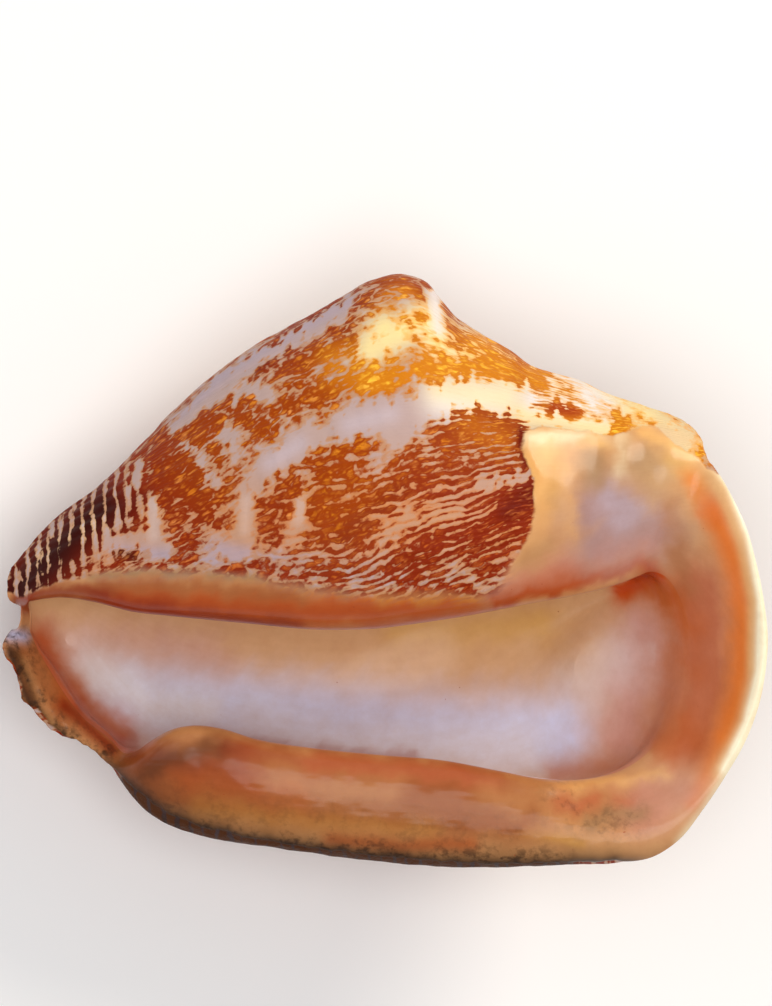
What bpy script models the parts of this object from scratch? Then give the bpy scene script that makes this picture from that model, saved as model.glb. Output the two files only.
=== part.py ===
# Conch shell, one closed piece.
#
# The form is one grid of points. Rays run round the mouth of the shell, and along each ray the rows follow one
# profile: from the middle of the floor inside, up the hidden wall, over the edge of the mouth, across the face to
# the rim, and over the back to its middle line. The two slits that are left, inside and on the back, are closed by
# strips. Outlines are in millimetres in the plane of the mouth: x along the shell from the front canal to the
# spire, z across it, y away from the viewer. The finished shell is leant back until it rests on its lip and its back.

import math

import bpy
import numpy as np
from mathutils import Matrix

# Sizes
SHELL_LENGTH = 0.145
DRAWN_LENGTH = 145.2
LEAN_BACK = math.radians(-88.25)
LEAN_SIDE = math.radians(-10.13)
RAYS = 240
ROWS = {"floor": 14, "wall": 16, "face": 46, "back": 50}
FLAT_CUT = 0.0004
TRIANGLES = 9400

# Outline of the shell seen square to its mouth, from the tip of the front canal over the top: (x, z).
OUTLINE = np.array([
    (-71.4, 0.0), (-71.6, 5.0), (-68.3, 9.6), (-62.2, 16.1), (-54.5, 21.8), (-46.9, 29.3),
    (-39.2, 37.3), (-31.6, 43.8), (-23.9, 49.2), (-16.3, 53.4), (-8.6, 57.8), (-2.9, 61.2),
    (2.9, 62.4), (7.5, 61.2), (10.4, 57.9), (13.6, 54.0), (18.2, 50.9), (23.9, 47.6),
    (27.7, 44.8), (31.6, 43.4), (37.0, 42.0), (41.5, 39.8), (48.8, 37.3), (54.5, 35.4),
    (58.3, 33.3), (60.5, 30.2), (61.2, 27.3), (63.0, 24.7), (65.6, 20.1), (68.3, 14.3),
    (70.2, 7.7), (71.7, 0.4), (72.5, -6.7), (72.1, -13.4), (70.8, -20.1), (68.3, -26.8),
    (64.5, -33.5), (60.3, -39.8), (55.8, -45.5), (50.7, -48.8), (45.0, -49.8), (33.5, -50.5),
    (22.0, -50.9), (10.5, -50.8), (-1.0, -49.8), (-16.3, -47.9), (-27.7, -46.3), (-35.4, -44.9),
    (-41.1, -42.9), (-45.9, -39.8), (-49.2, -36.3), (-51.2, -33.4), (-52.2, -31.2), (-54.5, -29.1),
    (-57.4, -27.2), (-61.8, -25.8), (-64.1, -23.9), (-66.4, -21.4), (-68.9, -18.9), (-69.8, -15.3),
    (-70.8, -12.3), (-72.3, -10.7), (-72.7, -8.2), (-71.7, -6.1), (-69.6, -5.4), (-69.0, -3.8),
    (-69.2, -1.4)])
FAR_POINT = 32

# Edge of the mouth: number of the outline point on the same ray, x, z.
MOUTH = np.array([
    (0, -67.9, -0.5), (1, -66.9, 0.0), (2, -64.6, 0.4), (3, -60.7, 0.6), (4, -54.9, -0.3), (5, -47.9, -2.1),
    (6, -40.8, -2.9), (8, -26.3, -4.3), (10, -12.1, -5.5), (12, -1.0, -5.2), (14, 6.8, -4.2),
    (16, 15.2, -2.9), (18, 24.9, -1.0), (20, 34.5, 0.6), (22, 43.5, 2.8), (24, 49.5, 5.0), (25, 51.0, 5.6),
    (26, 52.2, 5.3), (28, 54.6, 3.0), (30, 56.8, -1.9), (32, 57.8, -9.2), (34, 56.8, -17.2),
    (36, 53.0, -25.6), (38, 46.2, -32.4), (40, 37.4, -34.4), (41, 29.8, -34.0), (42, 21.4, -32.4),
    (43, 10.6, -30.4), (44, -1.0, -29.4), (45, -14.4, -28.0), (46, -24.4, -26.4), (47, -31.0, -24.4),
    (48, -36.2, -23.8), (49, -40.8, -24.7), (50, -44.6, -26.8), (51, -47.6, -28.9), (52, -49.8, -29.2),
    (53, -52.0, -27.0), (55, -57.6, -22.4), (57, -61.0, -18.0), (59, -64.0, -13.2), (61, -66.2, -9.4),
    (63, -67.4, -6.7), (64, -67.8, -5.6), (65, -67.8, -3.8), (66, -67.8, -2.2)])

# Profile on a ray: number of the outline point, depth of the rim, depth of the mouth's edge, angle of the face
# there, pull of the face at the mouth and at the rim, overhang of the wall inside, its depth, its angle, share of
# thin plate in the back, thickness of the plate.
PROFILES = np.array([
    (0, 6, 5, 90, 3, 3, 0.6, 9, 90, 0.6, 4),
    (1, 7, 4, 90, 4, 5, 1.0, 10, 90, 0.5, 5),
    (3, 9, 1, 90, 8, 10, 3.0, 11, 90, 0.3, 5),
    (6, 13, -3, 90, 16, 18, 12.0, 14, 90, 0.1, 5),
    (9, 15, -5, 90, 24, 24, 22.0, 16, 90, 0.0, 5),
    (12, 16, -5, 90, 26, 26, 26.0, 17, 90, 0.0, 5),
    (15, 16, -3, 90, 22, 26, 22.0, 18, 90, 0.0, 5),
    (18, 16, -1, 90, 15, 24, 14.0, 18, 90, 0.5, 5),
    (21, 15, 4, 80, 8, 20, 6.0, 18, 85, 0.9, 4),
    (24, 12, 10, 55, 6, 14, 0.0, 18, 60, 1.0, 4),
    (26, 6, 12, 45, 9, 6, -3.0, 18, 50, 1.0, 4),
    (29, 0, 11, 38, 10, 3, -5.0, 18, 50, 1.0, 5),
    (32, -2, 11, 35, 10, 2.5, -6.0, 18, 50, 1.0, 5),
    (35, 0, 11, 38, 10, 3, -5.0, 19, 55, 0.75, 6),
    (38, 3, 10, 50, 8, 4, -1.0, 20, 70, 0.45, 7),
    (41, 6, 6, 80, 7, 7, 3.0, 20, 85, 0.3, 8),
    (44, 7, 4, 90, 8, 8, 4.5, 20, 90, 0.3, 9),
    (47, 7, 3, 90, 9, 8, 4.0, 18, 90, 0.4, 9),
    (50, 8, 6, 85, 7, 5, 1.5, 17, 85, 0.6, 6),
    (52, 10, 10, 50, 2, 2, -1.0, 15, 60, 0.7, 4),
    (55, 7, 10, 45, 4, 2, -2.0, 15, 45, 0.7, 4),
    (59, 4, 9, 45, 3, 2, -2.0, 14, 45, 0.7, 4),
    (62, 4, 9, 45, 3, 2, -1.0, 13, 45, 0.65, 4),
    (64, 11, 11, 30, 1, 1, -0.5, 13, 40, 0.6, 4),
    (65, 12, 11, 25, 0.5, 0.6, -0.5, 13, 30, 0.6, 4),
    (66, 11, 10, 30, 1, 1, -0.5, 13, 40, 0.6, 4)])

# Middle line of the floor inside and of the back: share of the way along a side, x, y, z.
FLOOR_LINE = np.array([
    (0.10, -58.0, 17.0, -11.0), (0.30, -36.0, 27.0, -15.5), (0.52, 0.0, 35.5, -17.0), (0.72, 20.0, 31.5, -16.0),
    (0.88, 31.0, 26.0, -14.0)])
BACK_LINE = np.array([
    (0.14, -44.0, 39.0, 0.0), (0.34, -24.0, 47.0, 2.0), (0.52, -2.0, 50.0, 5.0), (0.70, 16.0, 49.0, 6.0),
    (0.86, 28.0, 44.0, 4.0)])
NEAR_LINE = 0.03
RIM_BLUR = 0.03
PLATE_HOLLOW = 0.5
HOLLOW_END = 40.0

# The coil's axis, the spire round it and the whorls on the spire
AXIS_POINT = np.array([0.0, 15.0, 11.3])
AXIS_RISE = math.radians(10.6)
SPIRE_TIP = 66.0
SPIRE_SLOPE = 0.80
SPIRE_DEPTH = 1.0
SPIRE_FADE = (34.0, 30.0)
WHORL_RATIO = 1.55
LAST_SUTURE = 38.0
WHORL_STEP = 0.13
NODE_STEP = 0.07
NODES_PER_TURN = 11

# Knobs on the shoulder of the last whorl, on the back: x, z, height, radius.
BACK_KNOBS = ((1.0, 49.0, 4.0, 8.0), (3.0, 31.0, 7.3, 8.5), (8.0, 12.0, 3.0, 8.0), (15.0, -7.0, 5.5, 9.0))

# Folds on the glaze over the spire, on the face: x, z, height, radius across, radius along.
FACE_FOLDS = ((35.0, 19.0, 1.3, 2.6, 7.0), (45.5, 25.0, 1.3, 2.6, 6.0), (54.0, 27.5, 0.8, 2.4, 5.0))


def smooth_curve(knots, values, at, period=None, flat_ends=False):
    """Curve through values at knots, cubic pieces whose slopes are those of the neighbours' chords."""
    values = np.asarray(values, float).reshape(len(knots), -1)
    if period:
        knots = np.concatenate([knots[-2:] - period, knots, knots[:2] + period])
        values = np.concatenate([values[-2:], values, values[:2]])
    step = np.diff(knots)[:, None]
    chord = np.diff(values, axis=0) / step
    slope = np.empty_like(values)
    slope[1:-1] = (chord[:-1] * step[1:] + chord[1:] * step[:-1]) / (step[1:] + step[:-1])
    slope[0], slope[-1] = (0, 0) if flat_ends else (chord[0], chord[-1])
    at = np.clip(at, knots[0], knots[-1])
    i = np.clip(np.searchsorted(knots, at, side="right") - 1, 0, len(knots) - 2)
    h = (knots[i + 1] - knots[i])[:, None]
    t = (at - knots[i])[:, None] / h
    start = (2 * t**3 - 3 * t**2 + 1) * values[i] + (t**3 - 2 * t**2 + t) * h * slope[i]
    return start + (3 * t**2 - 2 * t**3) * values[i + 1] + (t**3 - t**2) * h * slope[i + 1]


def bezier(p0, p1, p2, p3, t):
    """Points at t, shaped (rays, rows, 3), of the cubics with these control points."""
    t = t[None, :, None]
    p0, p1, p2, p3 = (p[:, None, :] for p in (p0, p1, p2, p3))
    return (1 - t) ** 3 * p0 + 3 * (1 - t) ** 2 * t * p1 + 3 * (1 - t) * t**2 * p2 + t**3 * p3


def smooth_max(a, b, width):
    """The larger of a and b, rounded over where they are within width of each other."""
    near = np.maximum(width - np.abs(a - b), 0) / width
    return np.maximum(a, b) + near * near * width / 4


def ease(x):
    """0 below 0, 1 above 1, smooth between."""
    x = np.clip(x, 0, 1)
    return x * x * (3 - 2 * x)


def bump(x, z, cx, cz, rx, rz):
    """A bell of height 1 in the plane of the mouth."""
    return np.exp(-(((x - cx) / rx) ** 2) - ((z - cz) / rz) ** 2)


def blur_ring(values, spread):
    """Values round the ring, averaged with a bell of this spread in rays."""
    index = np.arange(len(values))
    bell = np.exp(-0.5 * (np.minimum(index, len(values) - index) / spread) ** 2)
    bell /= bell.sum()
    return np.real(np.fft.ifft(np.fft.fft(values, axis=0) * np.fft.fft(bell)[:, None], axis=0))


def flat_unit(v):
    """Unit vectors along v in the plane of the mouth."""
    v = v * np.array([1.0, 0.0, 1.0])
    return v / np.linalg.norm(v, axis=1, keepdims=True)


def outline_knots():
    """A place round the ring for each outline point, half of the ring on the top side and half on the lip side."""
    chord = np.linalg.norm(np.roll(OUTLINE, -1, 0) - OUTLINE, axis=1) ** 0.8
    along = np.concatenate([[0], np.cumsum(chord)])
    far = along[FAR_POINT]
    return np.where(along <= far, 0.5 * along / far, 0.5 + 0.5 * (along - far) / (along[-1] - far))


def spire_depth(x, z):
    """Depth of the spire's back at (x, z): a cone round the coil's axis with stepped whorls and small knobs."""
    dx, dz = x - AXIS_POINT[0], z - AXIS_POINT[2]
    along = dx * math.cos(AXIS_RISE) + dz * math.sin(AXIS_RISE)
    across = dz * math.cos(AXIS_RISE) - dx * math.sin(AXIS_RISE)
    to_tip = np.maximum(SPIRE_TIP - along, 0.5)
    radius = SPIRE_SLOPE * to_tip
    angle = np.arctan2(-np.sqrt(np.maximum(radius**2 - across**2, 0)), across)
    turns = np.log(LAST_SUTURE / to_tip) / math.log(WHORL_RATIO) - angle / (2 * math.pi)
    place = turns - np.floor(turns)
    step = WHORL_STEP * (np.sin(np.pi * place) ** 0.8 - 0.5)
    knobs = NODE_STEP * np.exp(-(((place - 0.45) / 0.22) ** 2)) * (0.5 + 0.5 * np.cos(NODES_PER_TURN * angle))
    radius = radius * (1 + step + knobs) * (1 - ease((to_tip - SPIRE_FADE[0]) / SPIRE_FADE[1]))
    inside = radius**2 - across**2
    height = np.where(inside > 0, np.sqrt(np.maximum(inside, 0)), -0.5 * np.sqrt(np.maximum(-inside, 0)))
    return AXIS_POINT[1] + SPIRE_DEPTH * height


def shell_grid(rays, rows):
    """The points of the shell, shaped (rays, rows, 3), in millimetres in the plane of the mouth."""
    knots = outline_knots()
    ring = np.arange(rays) / rays

    def on_ring(table):
        places = np.interp(table[:, 0], np.arange(len(knots)), knots)
        return smooth_curve(places, table[:, 1:], ring, 1.0)

    rim_xz = smooth_curve(knots[:-1], OUTLINE, ring, 1.0)
    mouth_xz = on_ring(MOUTH)
    rim_y, mouth_y, mouth_angle, mouth_pull, rim_pull, overhang, wall_y, wall_angle, plate, thick = on_ring(PROFILES).T
    side = np.minimum(ring, 1 - ring) * 2
    floor_mid = smooth_curve(FLOOR_LINE[:, 0], FLOOR_LINE[:, 1:], side, flat_ends=True)
    back_mid = smooth_curve(BACK_LINE[:, 0], BACK_LINE[:, 1:], side, flat_ends=True)
    rim = np.stack([rim_xz[:, 0], rim_y, rim_xz[:, 1]], 1)
    soft = blur_ring(rim, rays * RIM_BLUR)
    mouth = np.stack([mouth_xz[:, 0], mouth_y, mouth_xz[:, 1]], 1)
    deeper = np.array([0.0, 1.0, 0.0])
    outward = flat_unit(mouth - floor_mid)
    across = flat_unit(rim - mouth)
    wall = mouth + outward * overhang[:, None]
    wall[:, 1] = wall_y
    cos_mouth, sin_mouth = np.cos(np.radians(mouth_angle))[:, None], np.sin(np.radians(mouth_angle))[:, None]
    cos_wall, sin_wall = np.cos(np.radians(wall_angle))[:, None], np.sin(np.radians(wall_angle))[:, None]
    wall_way = outward * cos_wall - deeper * sin_wall
    face_way = across * cos_mouth - deeper * sin_mouth
    edge_way = outward * cos_mouth - deeper * sin_mouth

    def gap(a, b):
        return np.linalg.norm(a - b, axis=1, keepdims=True)

    share = {name: np.linspace(0, 1, count + 1)[1:] for name, count in rows.items()}
    reach = gap(floor_mid, wall)
    from_line = np.linspace(NEAR_LINE, 1, rows["floor"] + 1)
    floor = bezier(floor_mid, floor_mid + outward * 0.42 * reach, wall - wall_way * 0.38 * reach, wall, from_line)
    reach = gap(wall, mouth)
    inner = bezier(wall, wall + wall_way * 0.4 * reach, mouth - edge_way * 0.4 * reach, mouth, share["wall"])
    to_rim = share["face"] * (1.25 - 0.25 * share["face"])
    face_pull, rim_pull = face_way * mouth_pull[:, None], deeper * rim_pull[:, None]
    face = bezier(mouth, mouth + face_pull, soft - rim_pull, soft, to_rim)
    face = face + (rim - soft)[:, None, :] * to_rim[None, :, None] ** 4
    relief = sum(h * bump(face[..., 0], face[..., 2], x, z, a, b) for x, z, h, a, b in FACE_FOLDS)
    face[..., 1] -= relief * (1 - to_rim[None, :] ** 8)

    in_way = (1 - NEAR_LINE) * share["back"] ** 2 * (3 - share["back"]) / 2
    plan = soft[:, None, :] + (back_mid - soft)[:, None, :] * in_way[None, :, None]
    plan = plan + (rim - soft)[:, None, :] * (1 - in_way[None, :, None]) ** 6
    x, z = plan[..., 0], plan[..., 2]
    run = gap(soft * [1, 0, 1], back_mid * [1, 0, 1]) * in_way[None, :]
    start = soft[:, 1:2] + (rim - soft)[:, 1:2] * (1 - in_way[None, :]) ** 6
    rise = back_mid[:, 1:2] - start
    thick = thick[:, None]
    dome = rise * np.sqrt(1 - (1 - in_way[None, :]) ** 2)
    edge = np.sqrt(1 - (1 - np.clip(run / (0.7 * thick), 0, 1)) ** 2)
    hollow = 1 + PLATE_HOLLOW * ease(soft[:, :1] / HOLLOW_END)
    sheet = thick * edge + (rise - thick) * np.sin(0.5 * np.pi * in_way[None, :]) ** hollow
    part = np.clip(plate, 0, 1)[:, None]
    y = start + dome * (1 - part) + sheet * part
    y = y + sum(h * bump(x, z, cx, cz, r, r) for cx, cz, h, r in BACK_KNOBS) * ease(run / 10.0)
    y = y + (smooth_max(y, spire_depth(x, z), 3.0) - y) * ease(run / 7.0)
    back = np.stack([x, y, z], -1)
    return np.concatenate([floor, inner, face, back], 1)


def shell_faces(rays, rows):
    """Faces of the grid, closed round the ring, and the strips across the two slits."""
    ray, row = np.meshgrid(np.arange(rays), np.arange(rows - 1), indexing="ij")
    ray, row = ray.ravel(), row.ravel()
    after = (ray + 1) % rays
    faces = np.stack([ray * rows + row, after * rows + row, after * rows + row + 1, ray * rows + row + 1], 1).tolist()
    half = rays // 2
    k = np.arange(1, half - 1)
    for last in (0, rows - 1):
        strip = (np.stack([k, k + 1, rays - k - 1, rays - k], 1) * rows + last).tolist()
        strip.append([last, rows + last, (rays - 1) * rows + last])
        strip.append([(half - 1) * rows + last, half * rows + last, (half + 1) * rows + last])
        faces += strip if last else [face[::-1] for face in strip]
    return faces


def rest_matrix():
    """Turns the drawn shell into its resting pose."""
    scale = SHELL_LENGTH / DRAWN_LENGTH
    return Matrix.Rotation(LEAN_SIDE, 4, "Y") @ Matrix.Rotation(LEAN_BACK, 4, "X") @ Matrix.Scale(scale, 4)


def shell_material():
    material = bpy.data.materials.new("shell")
    material.use_nodes = True
    shader = material.node_tree.nodes["Principled BSDF"]
    shader.inputs["Base Color"].default_value = (0.56, 0.29, 0.13, 1.0)
    shader.inputs["Roughness"].default_value = 0.3
    shader.inputs["Metallic"].default_value = 0.0
    return material


def main():
    for thing in list(bpy.data.objects):
        bpy.data.objects.remove(thing)
    points = shell_grid(RAYS, ROWS)
    rays, rows = points.shape[:2]
    mesh = bpy.data.meshes.new("conch_shell")
    mesh.from_pydata(points.reshape(-1, 3).tolist(), [], shell_faces(rays, rows))
    mesh.transform(rest_matrix())
    place = np.empty(len(mesh.vertices) * 3)
    mesh.vertices.foreach_get("co", place)
    place = place.reshape(-1, 3)
    low, high = place.min(0), place.max(0)
    place -= [(low[0] + high[0]) / 2, (low[1] + high[1]) / 2, low[2] + FLAT_CUT]
    place[:, 2] = np.maximum(place[:, 2], 0)
    mesh.vertices.foreach_set("co", place.ravel())
    mesh.update()
    shell = bpy.data.objects.new("conch_shell", mesh)
    bpy.context.scene.collection.objects.link(shell)
    mesh.materials.append(shell_material())
    thin = shell.modifiers.new("thin", "DECIMATE")
    thin.ratio = TRIANGLES / sum(len(face.vertices) - 2 for face in mesh.polygons)
    bpy.context.view_layer.objects.active = shell
    shell.select_set(True)
    bpy.ops.object.shade_smooth()
    mesh.set_sharp_from_angle(angle=math.radians(60))


main()
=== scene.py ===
"""A conch shell lying on its knobbed back, seen from over its open mouth."""

import math

import bpy
import numpy as np
from mathutils import Matrix, Vector


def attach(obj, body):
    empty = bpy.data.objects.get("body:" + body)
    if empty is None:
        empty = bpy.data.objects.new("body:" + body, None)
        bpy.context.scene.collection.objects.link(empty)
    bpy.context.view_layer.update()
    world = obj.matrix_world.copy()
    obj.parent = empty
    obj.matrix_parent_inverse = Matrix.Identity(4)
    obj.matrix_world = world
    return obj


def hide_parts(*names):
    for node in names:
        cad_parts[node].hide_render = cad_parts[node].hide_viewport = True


bl_info = {
    "name": "Conch shell",
    "version": (1, 0, 0),
    "blender": (4, 5, 0),
    "location": "3D View > Sidebar > Shell",
    "description": "A conch shell with its glaze, its brown markings and a plain studio",
    "category": "Object",
}

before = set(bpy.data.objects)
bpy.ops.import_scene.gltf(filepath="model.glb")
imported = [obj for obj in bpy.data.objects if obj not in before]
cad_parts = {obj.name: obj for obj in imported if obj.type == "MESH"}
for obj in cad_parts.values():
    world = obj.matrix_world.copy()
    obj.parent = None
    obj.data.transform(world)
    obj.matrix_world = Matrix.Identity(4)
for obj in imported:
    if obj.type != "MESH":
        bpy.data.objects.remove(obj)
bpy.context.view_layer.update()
NODE = "conch_shell"

# The drawing: the shell seen square to its mouth, in mm. x runs from the front canal to the spire, z up across the
# mouth, y away from the viewer.
DRAWN_LENGTH = 145.2
LEAN_BACK = math.radians(-88.25)
LEAN_SIDE = math.radians(-10.13)
FLAT_CUT = 0.0004
RAYS = 432
ROWS = {"floor": 22, "wall": 26, "face": 88, "back": 90}
FACE_ROW = 1 + ROWS["floor"] + ROWS["wall"]
BACK_ROW = FACE_ROW + ROWS["face"]

# More than any distance on the shell, in mm
FAR_OFF = 1e9

# Outline from the tip of the front canal over the top: (x, z).
OUTLINE = np.array([
    (-71.4, 0), (-71.6, 5), (-68.3, 9.6), (-62.2, 16.1), (-54.5, 21.8), (-46.9, 29.3),
    (-39.2, 37.3), (-31.6, 43.8), (-23.9, 49.2), (-16.3, 53.4), (-8.6, 57.8), (-2.9, 61.2),
    (2.9, 62.4), (7.5, 61.2), (10.4, 57.9), (13.6, 54), (18.2, 50.9), (23.9, 47.6),
    (27.7, 44.8), (31.6, 43.4), (37, 42), (41.5, 39.8), (48.8, 37.3), (54.5, 35.4),
    (58.3, 33.3), (60.5, 30.2), (61.2, 27.3), (63, 24.7), (65.6, 20.1), (68.3, 14.3),
    (70.2, 7.7), (71.7, 0.4), (72.5, -6.7), (72.1, -13.4), (70.8, -20.1), (68.3, -26.8),
    (64.5, -33.5), (60.3, -39.8), (55.8, -45.5), (50.7, -48.8), (45, -49.8), (33.5, -50.5),
    (22, -50.9), (10.5, -50.8), (-1, -49.8), (-16.3, -47.9), (-27.7, -46.3), (-35.4, -44.9),
    (-41.1, -42.9), (-45.9, -39.8), (-49.2, -36.3), (-51.2, -33.4), (-52.2, -31.2), (-54.5, -29.1),
    (-57.4, -27.2), (-61.8, -25.8), (-64.1, -23.9), (-66.4, -21.4), (-68.9, -18.9), (-69.8, -15.3),
    (-70.8, -12.3), (-72.3, -10.7), (-72.7, -8.2), (-71.7, -6.1), (-69.6, -5.4), (-69, -3.8),
    (-69.2, -1.4)])
FAR_POINT = 32

# Edge of the mouth: number of the outline point on the same ray, x, z.
MOUTH = np.array([
    (0, -67.9, -0.5), (1, -66.9, 0), (2, -64.6, 0.4), (3, -60.7, 0.6), (4, -54.9, -0.3), (5, -47.9, -2.1),
    (6, -40.8, -2.9), (8, -26.3, -4.3), (10, -12.1, -5.5), (12, -1, -5.2), (14, 6.8, -4.2),
    (16, 15.2, -2.9), (18, 24.9, -1), (20, 34.5, 0.6), (22, 43.5, 2.8), (24, 49.5, 5), (25, 51, 5.6),
    (26, 52.2, 5.3), (28, 54.6, 3), (30, 56.8, -1.9), (32, 57.8, -9.2), (34, 56.8, -17.2),
    (36, 53, -25.6), (38, 46.2, -32.4), (40, 37.4, -34.4), (41, 29.8, -34), (42, 21.4, -32.4),
    (43, 10.6, -30.4), (44, -1, -29.4), (45, -14.4, -28), (46, -24.4, -26.4), (47, -31, -24.4),
    (48, -36.2, -23.8), (49, -40.8, -24.7), (50, -44.6, -26.8), (51, -47.6, -28.9), (52, -49.8, -29.2),
    (53, -52, -27), (55, -57.6, -22.4), (57, -61, -18), (59, -64, -13.2), (61, -66.2, -9.4),
    (63, -67.4, -6.7), (64, -67.8, -5.6), (65, -67.8, -3.8), (66, -67.8, -2.2)])

# Profile on a ray: number of the outline point, depth of the rim, depth of the mouth's edge, angle of the face
# there, pull of the face at the mouth and at the rim, overhang of the wall inside, its depth, its angle, share of
# thin plate in the back, thickness of the plate.
PROFILES = np.array([
    (0, 6, 5, 90, 3, 3, 0.6, 9, 90, 0.6, 4),
    (1, 7, 4, 90, 4, 5, 1, 10, 90, 0.5, 5),
    (3, 9, 1, 90, 8, 10, 3, 11, 90, 0.3, 5),
    (6, 13, -3, 90, 16, 18, 12, 14, 90, 0.1, 5),
    (9, 15, -5, 90, 24, 24, 22, 16, 90, 0, 5),
    (12, 16, -5, 90, 26, 26, 26, 17, 90, 0, 5),
    (15, 16, -3, 90, 22, 26, 22, 18, 90, 0, 5),
    (18, 16, -1, 90, 15, 24, 14, 18, 90, 0.5, 5),
    (21, 15, 4, 80, 8, 20, 6, 18, 85, 0.9, 4),
    (24, 12, 10, 55, 6, 14, 0, 18, 60, 1, 4),
    (26, 6, 12, 45, 9, 6, -3, 18, 50, 1, 4),
    (29, 0, 11, 38, 10, 3, -5, 18, 50, 1, 5),
    (32, -2, 11, 35, 10, 2.5, -6, 18, 50, 1, 5),
    (35, 0, 11, 38, 10, 3, -5, 19, 55, 0.75, 6),
    (38, 3, 10, 50, 8, 4, -1, 20, 70, 0.45, 7),
    (41, 6, 6, 80, 7, 7, 3, 20, 85, 0.3, 8),
    (44, 7, 4, 90, 8, 8, 4.5, 20, 90, 0.3, 9),
    (47, 7, 3, 90, 9, 8, 4, 18, 90, 0.4, 9),
    (50, 8, 6, 85, 7, 5, 1.5, 17, 85, 0.6, 6),
    (52, 10, 10, 50, 2, 2, -1, 15, 60, 0.7, 4),
    (55, 7, 10, 45, 4, 2, -2, 15, 45, 0.7, 4),
    (59, 4, 9, 45, 3, 2, -2, 14, 45, 0.7, 4),
    (62, 4, 9, 45, 3, 2, -1, 13, 45, 0.65, 4),
    (64, 11, 11, 30, 1, 1, -0.5, 13, 40, 0.6, 4),
    (65, 12, 11, 25, 0.5, 0.6, -0.5, 13, 30, 0.6, 4),
    (66, 11, 10, 30, 1, 1, -0.5, 13, 40, 0.6, 4)])

# Middle line of the floor inside and of the back: share of the way along a side, x, y, z.
FLOOR_LINE = np.array([
    (0.10, -58, 17, -11), (0.30, -36, 27, -15.5), (0.52, 0, 35.5, -17), (0.72, 20, 31.5, -16),
    (0.88, 31, 26, -14)])
BACK_LINE = np.array([
    (0.14, -44, 39, 0), (0.34, -24, 47, 2), (0.52, -2, 50, 5), (0.70, 16, 49, 6),
    (0.86, 28, 44, 4)])

# Share of a ray where the rows begin, beside the middle line, spread of the rim's blur as a share of the ring, and the
# hollow of the plate: its added power and the depth of the rim that brings all of it
NEAR_LINE = 0.03
RIM_BLUR = 0.03
PLATE_HOLLOW = 0.5
HOLLOW_END = 40.0

# The coil's axis, the spire round it and the whorls on the spire
AXIS_POINT = np.array([0.0, 15.0, 11.3])
AXIS_RISE = math.radians(10.6)
SPIRE_TIP = 66.0
SPIRE_SLOPE = 0.80
SPIRE_FADE = (34.0, 30.0)
WHORL_RATIO = 1.55
LAST_SUTURE = 38.0
WHORL_STEP = 0.13
NODE_STEP = 0.07
NODES_PER_TURN = 11

# Knobs on the shoulder, on the back: x, z, height, radius. Folds of the glaze over the spire: x, z, height, radii.
BACK_KNOBS = ((1.0, 49.0, 4.0, 8.0), (3.0, 31.0, 7.3, 8.5), (8.0, 12.0, 3.0, 8.0), (15.0, -7.0, 5.5, 9.0))
FACE_FOLDS = ((35.0, 19.0, 1.2, 4.2, 8.5), (45.5, 25.0, 1.2, 3.8, 7.5), (54.0, 27.5, 0.8, 3.0, 6.0))

# Where the glaze of the mouth ends on the body, from the front tip to the spire: (x, z).
GLAZE_LINE = np.array([
    (-90, 2), (-71.2, 1.6), (-69.1, 0.8), (-60.3, 4), (-50.2, 6.8), (-44.3, 7), (-34, 6.6), (-24.8, 6.2),
    (-20, 4.8), (-10.3, 3.2), (-0.4, 2.3), (9.3, 2.7), (15.1, 2.3), (20.2, 2.7), (22.9, 6.9), (26.9, 11.4),
    (28.4, 17), (28, 19.7), (28.4, 22.9), (26.9, 26.1), (25.9, 29.2), (25.6, 32.2), (30.1, 32.8),
    (35.1, 32.4), (40.4, 31.9), (43.1, 31.1), (45.8, 31.9), (48.5, 33.4), (51.7, 32.8), (54.9, 29.8),
    (58.4, 27.9), (60.7, 26.1), (66, 22), (90, 20), (90, -90), (-90, -90)])

# The lip's foot, where the underside begins: (x, z).
LIP_FOOT = ((-49.6, -36.3), (-42.9, -41.6), (-29.6, -45.4), (-10.5, -47.7), (8.6, -49.6), (33.4, -50))

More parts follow.
